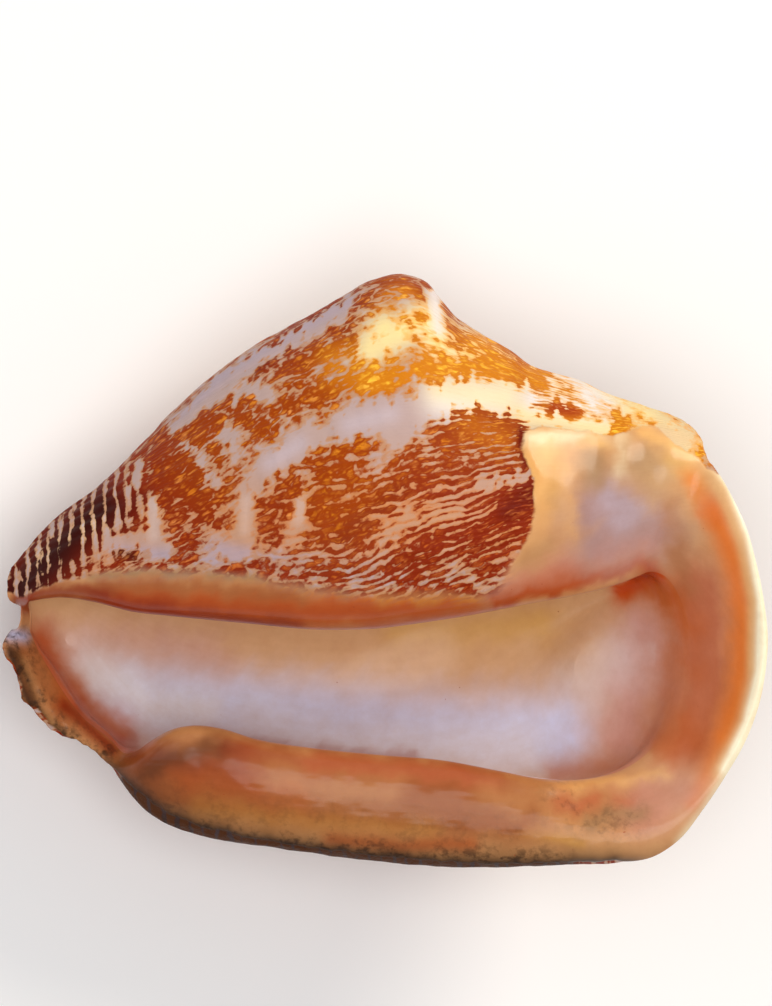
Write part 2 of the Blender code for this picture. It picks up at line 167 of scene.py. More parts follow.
# Washes of colour, each laid over the ones before it: colour, strength, width, points (x, z) of the stroke.
# Those of the bowl at the rear are on the face as well as inside the mouth, so that no edge shows there.
BOWL_WASHES = (
    ("clay", 1.1, 6.5, (59.3, 1.9), (60.9, -3.8), (60.9, -17.2), (58.2, -26.7)),
    ("bark", 0.6, 2.3, (55.5, 8.4), (58.2, 1.9)),
    ("amber", 0.7, 3.1, (51.7, 2.3), (55.1, -0.4), (57.8, -5.3)),
    ("amber", 0.35, 2.9, (57, -9.2), (59, -13)),
    ("blush", 0.6, 2.7, (51.5, -7.6), (53.2, -17.2)),
    ("clay", 0.6, 2.7, (55.5, -9.5), (54.8, -19.1), (51.5, -27.7)),
    ("amber", 0.45, 3.4, (54, -28.2), (57, -24.4), (59, -27.5)),
)
FACE_WASHES = (
    ("amber", 0.9, 4.2, (-50.6, 0), (-31.5, -1.1), (-10.5, -2.1), (8.6, -1.1), (16.2, 0)),
    ("rust", 0.35, 2.7, (-54.4, -0.4), (-41, -1.1)),
    ("slate", 0.8, 1.7, (-56.3, 5.7), (-35.3, 6.1), (-16.2, 4.6), (-6.7, 2.7)),
    ("bark", 0.6, 1.5, (-54.4, 3.1), (-35.3, 2.7), (-16.2, 0.8)),
    ("honey", 0.5, 1.7, (-1, 1.1), (8.6, 1.1), (18.1, 1.1)),
    ("rust", 0.75, 1.7, (-69.6, 0.4), (-62, 1.9), (-52.5, 1.1)),
    ("rust", 0.7, 1.5, (-67.7, -1.3), (-56.3, -0.8), (-42.9, -1.9), (-29.6, -3.4), (-16.2, -4.6)),
    ("rust", 0.6, 1.9, (-70.8, -2.3), (-68.5, 0)),
    ("clay", 0.5, 1.5, (-2.9, -4.6), (8.6, -5), (18.1, -4.2)),
    ("tan", 0.8, 1, (21.9, -2.9), (33.4, -1.3), (42.9, 1)),
    ("blush", 0.7, 3.4, (21.9, 1.5), (29.6, 4.6), (35.3, 6.5)),
    ("clay", 0.5, 2.7, (29.6, 3.8), (37.2, 5.3)),
    ("slate", 0.35, 2.7, (25.8, 7.6), (30.5, 10.5)),
    ("clay", 0.5, 2.3, (21.9, 0.4), (31.5, 2.7), (41, 5), (48.7, 7.6)),
    ("amber", 0.8, 1.3, (21.2, -0.2), (31.5, 1.9), (41, 4.4), (48.7, 7.3)),
    ("peach", 0.45, 0.8, (21.9, -1.7), (31.5, 0), (41, 2.3), (47.1, 4.8)),
    ("ember", 0.8, 1.5, (50.6, 6.1), (52.1, 4.2)),
    ("peach", 1, 4.6, (29.6, 28.2), (28.8, 23.9), (30.5, 19.1)),
    ("cream", 0.6, 1.7, (26.7, 30.5), (33.4, 31.7), (41, 30.9)),
    ("honey", 0.75, 1.9, (32.6, 24.8), (32.1, 18.1)),
    ("mauve", 1.1, 6.1, (38.2, 17.2), (42.9, 18.1), (46.7, 15.3), (41, 10.5), (50.6, 13.4)),
    ("porcelain", 0.25, 2.7, (42.2, 19.1), (46.7, 17.2), (44.5, 15.3)),
    ("blush", 0.35, 2.7, (41, 7.6), (50.6, 10.5)),
    # Painted highlight on a fold of the callus
    ("peach", 0.45, 1.9, (34.2, 25.2), (34.5, 19.1), (35.3, 13.7)),
    ("peach", 0.9, 1.5, (38.2, 29.6), (41, 30.1)),
    # Painted shade in a hollow between the callus's folds
    ("slate", 0.7, 2.9, (39.1, 26.3), (39.9, 23.7)),
    # Painted highlight on a fold of the callus
    ("cream", 0.4, 1.3, (45.2, 32.4), (44.8, 27.7), (44.6, 24.4)),
    # Painted shade in a hollow between the callus's folds
    ("slate", 0.7, 3.8, (48.7, 26.3), (51.5, 23.7)),
    ("peach", 0.9, 1.7, (48.7, 32.1), (54, 30.1), (58.2, 27.5)),
    ("tan", 0.6, 2.9, (52.5, 22.9), (58.2, 19.1)),
    ("bark", 0.5, 2.7, (54, 17.2), (55.9, 10.5)),
    *BOWL_WASHES,
    ("honey", 0.5, 2.3, (55.5, 26.3), (60.1, 21.4)),
    ("flame", 0.6, 2.3, (58.2, 22.9), (60.9, 19.1), (62.8, 15.3)),
    ("flame", 0.9, 2.7, (62.6, 16.8), (66.4, 7.6), (68.3, -3.8), (67.5, -17.2), (65.1, -25.8)),
    ("flame", 0.5, 1.7, (64.3, -26.7), (60.9, -33.2), (58.2, -38.2)),
    ("peach", 0.5, 1, (63.2, 21.4), (67.4, 11.4), (69.6, 0), (69.5, -13.4)),
    # Along the rim these peach and cream washes are partly the lip's pale edge and partly painted glow, light shining
    # through the thin rim
    ("peach", 0.6, 1.5, (60.1, 28.2), (65.4, 21), (68.9, 11.4), (70.6, 0), (70.2, -13.4), (67.9, -22.9),
      (63.5, -32.2)),
    ("cream", 1.5, 1.2, (60.5, 29.4), (66, 22.1), (69.6, 12.2), (71.7, 0), (71.4, -13.4), (69.1, -23.3),
      (64.9, -32.2)),
    ("cream", 0.6, 1, (65.3, -32.2), (60.7, -39.3), (55.9, -45.8)),
    ("bark", 0.6, 5, (33.4, -42), (48.7, -38.2)),
    ("blush", 0.7, 4.6, (48.7, -38.2), (56.3, -36.3), (48.7, -42.9)),
    ("tan", 0.6, 2.7, (21.9, -38.2), (29.6, -40.4), (41, -46.7), (50.6, -46.7)),
    # Along the lip's ridge the peach is partly the glaze's colour and partly a painted highlight on its crest
    ("peach", 0.45, 1.1, (34.3, -35.9), (39.1, -34.9), (48.7, -33.8), (53.2, -33.2)),
    ("clay", 0.6, 1.7, (33.4, -38.2), (36.3, -39.3), (39.1, -38.2)),
    ("clay", 0.4, 1.3, (43.9, -37.8), (46.7, -38.2)),
    ("slate", 0.6, 1.9, (39.1, -42.4), (42.9, -41.2), (48.7, -40.4)),
    ("honey", 0.5, 1.1, (18.1, -42.4), (27.7, -44.3), (37.2, -46.2)),
    ("bark", 1.4, 6.5, (-46.7, -33.4), (-25.8, -36.3), (2.9, -38.5), (23.9, -39.7)),
    ("brick", 0.45, 4.2, (-44.8, -30.5), (-37.2, -29), (-27.7, -29.8)),
    ("olive", 0.5, 2.3, (-44.8, -32.1), (-38.2, -29), (-30.5, -27.7)),
    ("amber", 0.3, 3.4, (-37.2, -34), (-25.8, -35.3), (-16.2, -37.2)),
    ("rust", 0.5, 2.3, (-29.6, -27.7), (-16.2, -30.1), (-1, -31.3), (12.4, -32.1), (21.9, -34.3)),
    ("clay", 0.5, 1.9, (-14.3, -30.9), (-1, -32.1), (10.5, -32.8), (20, -34.7)),
    # Painted highlight: a lighter band across the lip roll where it faces the light
    ("tan", 0.35, 3.1, (-20, -34.3), (-10.5, -35.9), (1, -35.9)),
    ("honey", 0.25, 2.3, (-35.3, -39.1), (-21.9, -41.2), (-6.7, -42.5), (8.6, -43.5)),
    ("amber", 0.5, 1.5, (-10.5, -45.4), (2.9, -46.7), (16.2, -46.2)),
    ("tan", 0.4, 3.1, (20, -36.6), (25.8, -38.2)),
    ("bark", 0.9, 4.2, (-69.6, -10.5), (-66.6, -17.2), (-63.9, -21.9)),
    ("rust", 0.12, 5, (-67.7, -11.4), (-64.9, -19.1), (-58.2, -24.8)),
    ("amber", 0.55, 1.7, (-65.4, -8.6), (-62.8, -13.7), (-61.2, -19.1)),
    ("brick", 0.8, 1.7, (-60.9, -20.2), (-56.3, -24.6), (-52.1, -28.4)),
    ("blush", 0.6, 1.3, (-53.6, -22.5), (-49, -25.4), (-44.8, -27.1)),
    ("olive", 0.75, 1.1, (-70.4, -9.9), (-68.1, -14.5), (-66.2, -20.6), (-62, -25.2)),
    ("tan", 0.4, 1, (-68.5, -11.4), (-66.2, -17.2), (-63.2, -23.3)),
    ("umber", 0.7, 0.8, (-71.5, -9.5), (-69.3, -16), (-66.2, -22.5)),
    ("porcelain", 0.9, 1.3, (-71.5, -6.5), (-68.9, -6.9)),
)
INSIDE_WASHES = (
    ("porcelain", 1.1, 8.4, (-48.7, -19.1), (-27.7, -21.4), (-4.8, -24.4), (18.1, -26.3), (33.4, -25.8)),
    # Painted reflection: a broad bright patch on the left of the floor inside, over its whitish glaze
    ("white", 0.8, 5, (-58.2, -11.4), (-52.5, -15.6), (-44.8, -20.6), (-35.3, -21.9)),
    ("white", 0.5, 5.3, (-25.8, -23.9), (-10.5, -27.7), (8.6, -29), (25.8, -29)),
    ("blush", 0.45, 4.6, (-62, -7.6), (-48.7, -7.6), (-31.5, -10.5)),
    ("honey", 0.8, 3.8, (2.9, -6.9), (16.2, -6.9), (29.6, -5)),
    ("tan", 0.7, 4.2, (-27.7, -8.6), (-12.4, -9.5), (2.9, -11.4), (25.8, -10.5)),
    ("blush", 1, 6.5, (48.7, -9.5), (45.8, -17.2), (49.6, -5.7), (45.8, -26.7)),
    ("white", 0.4, 5.7, (39.1, -15.3), (44.8, -11.4)),
    ("white", 0.35, 1.1, (51.5, -10.7), (50.9, -9.2)),
    *BOWL_WASHES,
    ("amber", 0.8, 2.7, (47.1, 1.5), (51.7, 2.7), (54.8, 1.5)),
    ("ember", 1.1, 1.9, (45.2, 1.9), (48.7, 3.8), (51.7, 5.3)),
    ("rust", 0.6, 1.3, (48.3, 3.8), (50.6, 5.3)),
    ("clay", 0.6, 2.7, (33.4, -33.6), (48.7, -32.1)),
    ("rust", 0.45, 1.3, (-37.2, -25.8), (-16.2, -29), (6.7, -30.9)),
    ("clay", 0.95, 3.4, (-66.2, -6.9), (-62.8, -13.7), (-58.2, -20.2), (-50.6, -25.9)),
    ("ember", 0.5, 2.3, (-66.6, -8.6), (-63.5, -15.3), (-59.3, -21)),
    ("rust", 0.7, 2.3, (-59.7, -21.4), (-54.8, -25.6), (-49, -28.6)),
)

# Washes of the outside between the markings, and of the markings.
GROUND_WASHES = (
    ("straw", 0.75, 8.8, (-25.8, 13.4), (-6.7, 15.3), (12.4, 17.2), (25.8, 15.3)),
    ("straw", 0.5, 3.8, (-44.8, 15.3), (-37.2, 17.2), (-54.4, 5.7)),
    # Painted highlight band across the ramp behind the knob, in white and butter
    ("white", 0.9, 4.2, (11.4, 38.2), (21.9, 38.2)),
    ("butter", 0.6, 3.4, (10.5, 40.1), (21.9, 38.2)),
    # At the knob the butter and white are partly the shell's pale tone and partly painted light: a painted highlight
    # on its lit top and right side
    ("butter", 1, 3.8, (0, 51.5), (-2.9, 47.7), (7.6, 53.4), (10.5, 47.7)),
    ("white", 0.7, 1.3, (9.3, 58.8), (10.1, 51.5)),
    # Over the spire the butter and white are partly its pale tone and partly painted light, where the spire is lit
    # brightest
    ("butter", 0.9, 2.9, (26.5, 35.5), (35.3, 34.3), (44.8, 32.1)),
    ("butter", 0.9, 4.2, (16.2, 47.7), (25.8, 43.5), (33.4, 42), (41, 39.1), (48.7, 36.3), (58.2, 30.5)),
    ("white", 0.8, 2.7, (30.5, 41), (28.6, 38.2), (42, 36.6), (33.4, 43.5)),
    ("blush", 0.35, 2.3, (52.5, 32.4), (58.2, 30.5)),
    ("lilac", 0.6, 1.5, (-41, 34.3), (-29.6, 43.9), (-18.1, 50.6), (-6.7, 57.2)),
    ("porcelain", 0.25, 2.1, (-6.7, 33.4), (1, 35.3)),
    ("porcelain", 0.25, 1.7, (-16.2, 29.6), (-21.9, 25.8)),
    ("white", 0.2, 1.3, (-16.2, 15.3), (-15.8, 19.1)),
    ("white", 0.2, 1.3, (-26.5, 13.4), (-26.1, 19.1)),
    ("white", 0.25, 1.3, (-43.7, 12.4), (-43.7, 18.1)),
    ("lilac", 0.6, 1.5, (-24.8, 7.6), (-35.3, 10.5), (13.4, 2.9), (-50.6, 9.5)),
    ("white", 0.5, 1.9, (-65.8, 7.6), (-60.1, 11.4), (-54.4, 15.3)),
    # Along the lip's foot the umber is partly the outside's own dark colour and partly painted shade
    ("umber", 1.6, 3.1, *LIP_FOOT),
)
STAIN_WASHES = (
    ("chestnut", 1.1, 11.4, (-16.2, 38.2), (-31.5, 28.6), (-1, 34.3), (-8.6, 19.1)),
    # The gold markings at the knob, the ramp and the spire are partly their own colour and partly painted light, drawn
    # lighter where the top right is lit
    ("gold", 0.9, 4.6, (2.9, 57.2), (-1.9, 48.7), (6.7, 53.4), (9.5, 48.7), (-8.6, 44.8)),
    ("gold", 1.1, 4.2, (-2.9, 41.6), (8.6, 44.3), (21.9, 43.5), (18.1, 48.7)),
    ("chestnut", 0.5, 1.3, (-1, 60.7), (4.8, 60.7), (8.6, 59.1)),
    ("gold", 1.1, 4.6, (29.6, 42.4), (37.2, 40.1), (44.8, 37.4), (52.5, 34.3), (60.1, 28.6)),
    ("gold", 1, 3.1, (29.6, 33.6), (41, 32.8), (48.7, 31.3)),
    ("ember", 0.8, 1.3, (31.9, 36.6), (36.4, 35.9)),
    ("chestnut", 0.9, 5.7, (18.1, 33.4), (14.3, 29.6), (23.9, 31.5)),
    ("gold", 0.35, 3.1, (16.2, 33.4), (21.9, 30.5)),
    # Painted shadow: a dark line along the step at the glaze's left edge
    ("mahogany", 1.2, 0.8, (25.9, 32.4), (25.8, 29), (26.9, 25.6)),
    ("mahogany", 0.9, 2.1, (27.3, 19.1), (22.9, 16.8), (27.7, 21)),
    ("mahogany", 0.2, 3.4, (21.9, 11.4), (10.5, 8.6), (2.9, 7.6)),
    ("mahogany", 0.3, 1.9, (2.9, 21), (-8.6, 11.4)),
    ("mahogany", 0.9, 2.3, (-50.6, 15.3), (-46.7, 19.1)),
    ("mahogany", 0.9, 4.6, (-69.6, 1.9), (-63.9, 7.6), (-58.2, 13.4), (-52.5, 17.2)),
    ("soot", 0.9, 4.6, (-69.6, 1.9), (-63.9, 7.6), (-58.2, 13.4), (-53.6, 17.6)),
    ("soot", 0.7, 1.5, (-50.9, 9.9), (-47.7, 8.4)),
    ("mahogany", 0.6, 1.5, (-25.8, 42.9), (-16.2, 50.6), (-8.6, 55.7)),
    # Along the lip's foot the olive is partly the markings' own colour and partly painted shade
    ("olive", 1.4, 3.4, *LIP_FOOT),
)

# Where the markings crowd, and with a negative strength where they leave gaps: strength, width, points.
CROWDING = (
    (0.25, 2.7, *LIP_FOOT),
    (0.6, 1.3, (0, 60.5), (7.6, 59.9)),
    (-0.12, 3.1, (-3.8, 53), (6.7, 55.7)),
    # These two gaps keep the markings out of the knob's painted highlight
    (-0.9, 1.7, (0, 51.9), (2.5, 49.6), (-2.5, 47.7)),
    (-1.1, 1.1, (9.3, 58.8), (10.1, 50.6)),
    (0.4, 2.1, (-3.8, 40.4), (1.9, 42.4), (8.6, 44.3), (16.2, 43.9), (24.8, 42.4)),
    (0.3, 1.7, (14.3, 48.7), (21.9, 46.2)),
    (-0.4, 1, (11.4, 47.3), (18.1, 45.4)),
    # Gap that keeps the markings out of the painted highlight band on the ramp
    (-1.5, 2.3, (7.6, 37.4), (16.2, 39.5), (25.8, 37.8)),
    (-1.4, 2.3, (-7.6, 33.4), (-1, 35.3), (4.8, 34.7), (1.9, 32.1)),
    (-1.4, 1.9, (-21.9, 25.8), (-18.1, 28.6), (-12.4, 31.3)),
    (-0.9, 1.1, (-23.5, 22.9), (-22.3, 24.8)),
    (-1, 1.5, (-27.7, 39.5), (-23.5, 40.1)),
    (-1.1, 1.3, (-39.5, 33.4), (-29.6, 42.4), (-19.1, 49.2), (-7.6, 55.7)),
    (0.8, 0.6, (-23.5, 47.7), (-16.2, 52.5), (-8.6, 56.7)),
    (0.4, 1.9, (-24.8, 42.9), (-16.2, 45.4), (-7.6, 47.7)),
    (0.35, 1.7, (-18.1, 38.5), (-10.5, 40.4), (-6.7, 41.6)),
    (0.35, 1.9, (-35.3, 32.4), (-28.6, 36.3), (-22.9, 33.4)),
    (0.4, 3.8, (-42, 28.6), (-37.2, 32.4), (-41, 22.9), (-34.3, 24.8)),
    (0.4, 2.7, (-39.1, 21), (-34.3, 17.2), (-42.9, 21)),
    (-0.9, 0.9, (-38, 30), (-35.3, 28.2), (-31.9, 21.4)),
    (-0.8, 1, (-30.5, 32.4), (-28, 27.7)),
    (-0.9, 1.3, (-43.3, 11.4), (-44.1, 16.8)),
    (-0.6, 1, (-43.7, 17.9), (-42.9, 20.6)),
    (-0.8, 1.3, (-52.9, 10.3), (-49.8, 11.8), (-46.4, 11.1)),
    (-0.6, 1.7, (-42.5, 9.9), (-43.7, 12.4)),
    (-0.8, 1, (-48.3, 22.5), (-46.7, 24.8)),
    (-0.75, 1.9, (-27.3, 10.3), (-26.5, 17.6)),
    (-0.55, 1.3, (-26.1, 19.1), (-24.4, 22.5)),
    (-0.7, 1.5, (-30.5, 10.5), (-27.7, 8.6)),
    (-0.8, 1.5, (-17.7, 12.6), (-16.2, 17.6)),
    (-0.55, 1.1, (-15.5, 18.3), (-14.1, 22.1)),
    (0.3, 3.1, (-12.4, 24.8), (-7.6, 26.7), (-18.1, 17.2)),
    (0.3, 2.7, (-8.6, 15.3), (-1, 19.1), (6.7, 22.9)),
    (0.45, 2.9, (13.4, 31.5), (18.1, 34.3), (23.9, 33.2)),
    (0.35, 2.3, (-10.5, 15.3), (-6.7, 13.4)),
    (0.7, 2.5, (26.5, 20), (22.9, 16.2), (27.7, 18.1)),
    (0.3, 2.3, (8.6, 11.4), (18.1, 13.4), (2.9, 7.6)),
    (-0.5, 1.5, (0, 11.4), (4.8, 15.3)),
    (-0.4, 1.3, (0, 28.6), (-2.9, 24.8)),
    (-0.3, 3.1, (2.9, 16.2), (13.4, 15.3)),
    (-1.2, 0.7, (18.1, 21.2), (22.9, 22.9), (28, 24)),
    # Painted shadow along the step at the glaze's left edge, crowding the markings there
    (1.2, 0.6, (25.9, 32.1), (25.8, 29), (26.9, 25.9)),
    (0.25, 2.3, (-65.8, 4.8), (-60.1, 10.5), (-55.3, 15.3), (-51.5, 19.1)),
    (0.25, 1.3, (18.1, 45.4), (29.6, 43.5)),
    # Gap that thins the markings under the spire's painted light
    (-0.6, 3.1, (33.4, 41), (41, 38.9), (50.6, 35.3), (58.2, 30.5)),
    (0.7, 1.1, (31.9, 36.6), (36.4, 35.9)),
    (0.8, 1, (43.3, 37), (45.6, 34.7), (44.1, 32.4)),
    (0.6, 1.5, (26.9, 43.1), (33.4, 41.2), (35.7, 39.3)),
    (-1, 1.3, (27.7, 33.8), (35.3, 33.4), (41.4, 32.4)),
    (0.5, 0.8, (47.9, 35.9), (50.6, 34.3)),
    (-0.5, 1.5, (52.5, 32.4), (56.3, 29.6)),
    (0.7, 0.6, (-16.6, 30.1), (-16.2, 29.4)),
)

# The raised edge of the glaze: its height in general and along its sharp step, in mm, and where that step runs.
EDGE_STEP = (0.12, 0.55)
STEP_LINE = ((25.6, 32.2), (28.0, 24.8), (28.4, 18.1), (22.9, 6.9))

# Wrinkles of the canal's lip, lumps of the lip roll and the ridge on the lip: where they run, their height in mm.
CANAL_LIP = ((-70.8, -7.6), (-67.7, -16.0), (-64.7, -22.9), (-61.6, -25.8), (-54.4, -28.6))
WRINKLE = 0.45
LIP_ROLL = ((-44.8, -33.4), (-25.8, -36.3), (2.9, -38.2), (21.9, -40.1), (48.7, -41.0))
ROLL_LUMP = 0.12
LIP_RIDGE = ((30.5, -35.9), (39.1, -34.9), (48.7, -33.8), (53.2, -33.2))
RIDGE_HEIGHT = 0.4

# Heights of the outside's lumps and of its cords, in mm
OUTSIDE_RELIEF = (0.16, 0.10)

# Where the markings are drawn out into lines, where they are teeth, where they show through the glaze and where the
# glaze is worn dull: strength, width, points.
UNDERSIDE = (*LIP_FOOT[:5], (45.0, -50.4))
LINED = ((1.15, 17, (-2, 12), (12, 16), (24, 20), (20, 30)),)
TOOTHED = ((1.2, 7.6, (-74, 2), (-66, 8), (-58, 15), (-53, 20)), (1.2, 4, *UNDERSIDE))
VEILED = ((1.3, 4.5, (-54.4, 9.5), (-24.8, 7.6), (-8.6, 4), (9.5, 3), (19.1, 4.2)),)
WORN = (
    (0.24, 5.2, (-44.8, -36.3), (-25.8, -41), (2.9, -44.3), (25.8, -45)),
    (1, 3.5, (-71, -8), (-68, -17), (-64.7, -22.9), (-60.6, -26.8), (-54.4, -28.6)),
    (0.9, 2.6, *LIP_FOOT),
    (0.45, 3.5, (33.4, -38.2), (39.1, -42.4), (46.7, -41.8)))

# How far the strokes of the crowding are made ragged along x and z, and the rise of the lines along the axis
RAGGED = (0.9, 2.1)
LINE_RISE = 0.20

# Radius of the bell round the coil's axis, before and behind the axis point, in mm
POLE_WIDTH = (5.0, 17.0)

# How much the markings crowd on the back in general, and by how much their bands and patches change that
BACK_CROWDING = 0.1
BACK_PATCHES = 0.55
BACK_BANDS = 0.3

# How far before the rim the glaze ends on the lip, in mm: number of the outline point, distance.
GLAZE_MARGIN = np.array([
    (0, -1), (24, -1), (28, -2.5), (36, -3), (39, -2), (40, 0.5), (42, 2.6), (45, 3.6),
    (49, 3.6), (51, 2.4), (53, 0.8), (55, 0.6), (66, -0.5)])

# Angle round the coil at which the arc length starts, in degrees, and the outline points of the section that the arc
# length is measured on, over the body and back to the lip
SEAM_ANGLE = -50
SECTION_POINTS = (11, 44)

# Smoothing: rounds over the floor inside and the bowl, how often the broad form is given back, and how many rows from
# the edge between the two, and rounds there
CALM_ROUNDS = 300
CALM_RETURNS = 3
EDGE_ROWS = 12.0
EDGE_ROUNDS = 160

# The bowl at the rear: the outline points between which it lies, its middle, and how far its colours reach from there
BOWL_POINTS = (24, 41)
BOWL_LINE = ((60.1, 21.0), (60.1, -17.2), (57.2, -26.7))
BOWL_WIDTH = 13.0

# Powers that deepen the glaze's colours, inside and on the face
DEPTH = (1.1, 1.38)

# Shares of the noises in the markings: where they are lines, where they are patches and where they are teeth
LINE_SHARES = {
    "streak": 0.60, "lines": 0.30, "fine": 0.20, "veins": -0.26, "blotch": 0.36, "teeth": 0.30, "even": 0.24}
PATCH_SHARES = {"blotch": 0.90, "streak": 0.26, "fine": 0.12, "veins": -0.34, "teeth": 0.50, "even": 0.16}
TOOTH_SHARES = {"tip lines": 0.50, "tip teeth": 0.85, "blotch": 0.45, "fine": 0.22, "even": 0.12}

# What the colours are multiplied by: gaps close to a marking, golden hearts, and dark parts of dark and bright stains
HALO = (1.05, 0.74, 0.40)
GOLDEN = (1.30, 1.75, 2.6)
DARKENED = ((0.58, 0.33, 0.20), (0.76, 0.54, 0.32))

# The picture's middle in the drawing and its height there, in mm.
PICTURE_MIDDLE = (0.19, 10.0, 18.5)
PICTURE_HEIGHT = 191.7

# The stage: half the floor's side, the point that the lamps are aimed at, in m, and each lamp: place, size, colour.
FLOOR_HALF = 3.0
AIM = (0.0, 0.0, 0.03)
LAMPS = {
    "key": ((0.85, 0.8, 0.85), 0.7, (1.0, 0.91, 0.78)),
    "top": ((-0.15, -0.2, 1.5), 1.0, (1.0, 0.98, 0.97)),
    "fill": ((-1.1, 0.1, 0.8), 1.1, (0.97, 0.96, 1.0)),
}


def smooth_curve(knots, values, at, period=None, flat_ends=False):
    """Curve through values at knots: cubic pieces whose slopes are those of the neighbours' chords."""
    values = np.asarray(values, float).reshape(len(knots), -1)
    if period:
        knots = np.concatenate([knots[-2:] - period, knots, knots[:2] + period])
        values = np.concatenate([values[-2:], values, values[:2]])
    step = np.diff(knots)[:, None]
    chord = np.diff(values, axis=0) / step
    slope = np.empty_like(values)
    slope[1:-1] = (chord[:-1] * step[1:] + chord[1:] * step[:-1]) / (step[1:] + step[:-1])
    slope[0], slope[-1] = (0, 0) if flat_ends else (chord[0], chord[-1])
    at = np.clip(at, knots[0], knots[-1])
    i = np.clip(np.searchsorted(knots, at, side="right") - 1, 0, len(knots) - 2)
    h = (knots[i + 1] - knots[i])[:, None]
    t = (at - knots[i])[:, None] / h
    start = (2 * t**3 - 3 * t**2 + 1) * values[i] + (t**3 - 2 * t**2 + t) * h * slope[i]
    return start + (3 * t**2 - 2 * t**3) * values[i + 1] + (t**3 - t**2) * h * slope[i + 1]


def bezier(p0, p1, p2, p3, t):
    """Cubics with four control points each, weighted by the Bernstein polynomials of t, shaped (rays, rows, 3)."""
    t = t[None, :, None]
    p0, p1, p2, p3 = (p[:, None, :] for p in (p0, p1, p2, p3))
    return (1 - t) ** 3 * p0 + 3 * (1 - t) ** 2 * t * p1 + 3 * (1 - t) * t**2 * p2 + t**3 * p3


def smooth_max(a, b, width):
    """The larger of a and b, plus a parabola where they are within width of each other."""
    near = np.maximum(width - np.abs(a - b), 0) / width
    return np.maximum(a, b) + near * near * width / 4


def ease(x):
    """3x^2 - 2x^3 with x held between 0 and 1."""
    x = np.clip(x, 0, 1)
    return x * x * (3 - 2 * x)


def bump(x, z, cx, cz, rx, rz):
    """A bell exp(-u^2 - v^2), u and v being the distances along x and z over the two radii."""
    return np.exp(-(((x - cx) / rx) ** 2) - ((z - cz) / rz) ** 2)


def blur_ring(values, spread):
    """Values round the ring convolved with a normal bell of this spread in rays."""
    index = np.arange(len(values))
    bell = np.exp(-0.5 * (np.minimum(index, len(values) - index) / spread) ** 2)
    bell /= bell.sum()
    return np.real(np.fft.ifft(np.fft.fft(values, axis=0) * np.fft.fft(bell)[:, None], axis=0))


def flat_unit(v):
    """v without its depth, over its length."""
    v = v * np.array([1.0, 0.0, 1.0])
    return v / np.linalg.norm(v, axis=1, keepdims=True)


def ripple(x, z, size, seed):
    """Smooth irregular waves from -1 to 1: five sines of turned and shortened waves, added with falling weights."""
    rng = np.random.default_rng(seed)
    total, weight = 0.0, 0.0
    for octave in range(5):
        angle, phase = rng.uniform(0, 2 * np.pi, 2)
        wave = 2 * np.pi * 1.45**octave / size
        bend = rng.uniform(0.6, 1.4) * np.sin((x * np.sin(angle) - z * np.cos(angle)) * wave * 0.7 + phase)
        total = total + 0.8**octave * np.sin((x * np.cos(angle) + z * np.sin(angle)) * wave + bend + phase)
        weight += 0.8**octave
    return total / weight


def outline_knots():
    """Sums of the outline's chords to the power 0.8, half of the ring for the top side and half for the lip side."""
    chord = np.linalg.norm(np.roll(OUTLINE, -1, 0) - OUTLINE, axis=1) ** 0.8
    along = np.concatenate([[0], np.cumsum(chord)])
    far = along[FAR_POINT]
    return np.where(along <= far, 0.5 * along / far, 0.5 + 0.5 * (along - far) / (along[-1] - far))


def along_ring(table, ring, period=None):
    """Curve through the table's rows, each an outline point's number and values, at these shares of the ring."""
    knots = outline_knots()
    places = np.interp(table[:, 0], np.arange(len(knots)), knots)
    return smooth_curve(places, table[:, 1:], ring, period)


def axis_place(x, z):
    """Lengths along the coil's axis and across it from the axis point: x and z turned by the axis's rise."""
    dx, dz = x - AXIS_POINT[0], z - AXIS_POINT[2]
    return dx * math.cos(AXIS_RISE) + dz * math.sin(AXIS_RISE), dz * math.cos(AXIS_RISE) - dx * math.sin(AXIS_RISE)


def whorl_place(to_tip, angle):
    """Whole at each suture: the log of the distance to the spire's tip in whorl ratios, less the turns round it."""
    return np.log(LAST_SUTURE / to_tip) / math.log(WHORL_RATIO) - angle / (2 * math.pi)


def spire_depth(x, z):
    """Depth of the spire's back: a cone round the coil's axis, its radius swelling on each whorl and at each knob."""
    along, across = axis_place(x, z)
    to_tip = np.maximum(SPIRE_TIP - along, 0.5)
    radius = SPIRE_SLOPE * to_tip
    angle = np.arctan2(-np.sqrt(np.maximum(radius**2 - across**2, 0)), across)
    turns = whorl_place(to_tip, angle)
    place = turns - np.floor(turns)
    step = WHORL_STEP * (np.sin(np.pi * place) ** 0.8 - 0.5)
    knobs = NODE_STEP * np.exp(-(((place - 0.45) / 0.22) ** 2)) * (0.5 + 0.5 * np.cos(NODES_PER_TURN * angle))
    radius = radius * (1 + step + knobs) * (1 - ease((to_tip - SPIRE_FADE[0]) / SPIRE_FADE[1]))
    inside = radius**2 - across**2
    height = np.where(inside > 0, np.sqrt(np.maximum(inside, 0)), -0.5 * np.sqrt(np.maximum(-inside, 0)))
    return AXIS_POINT[1] + height


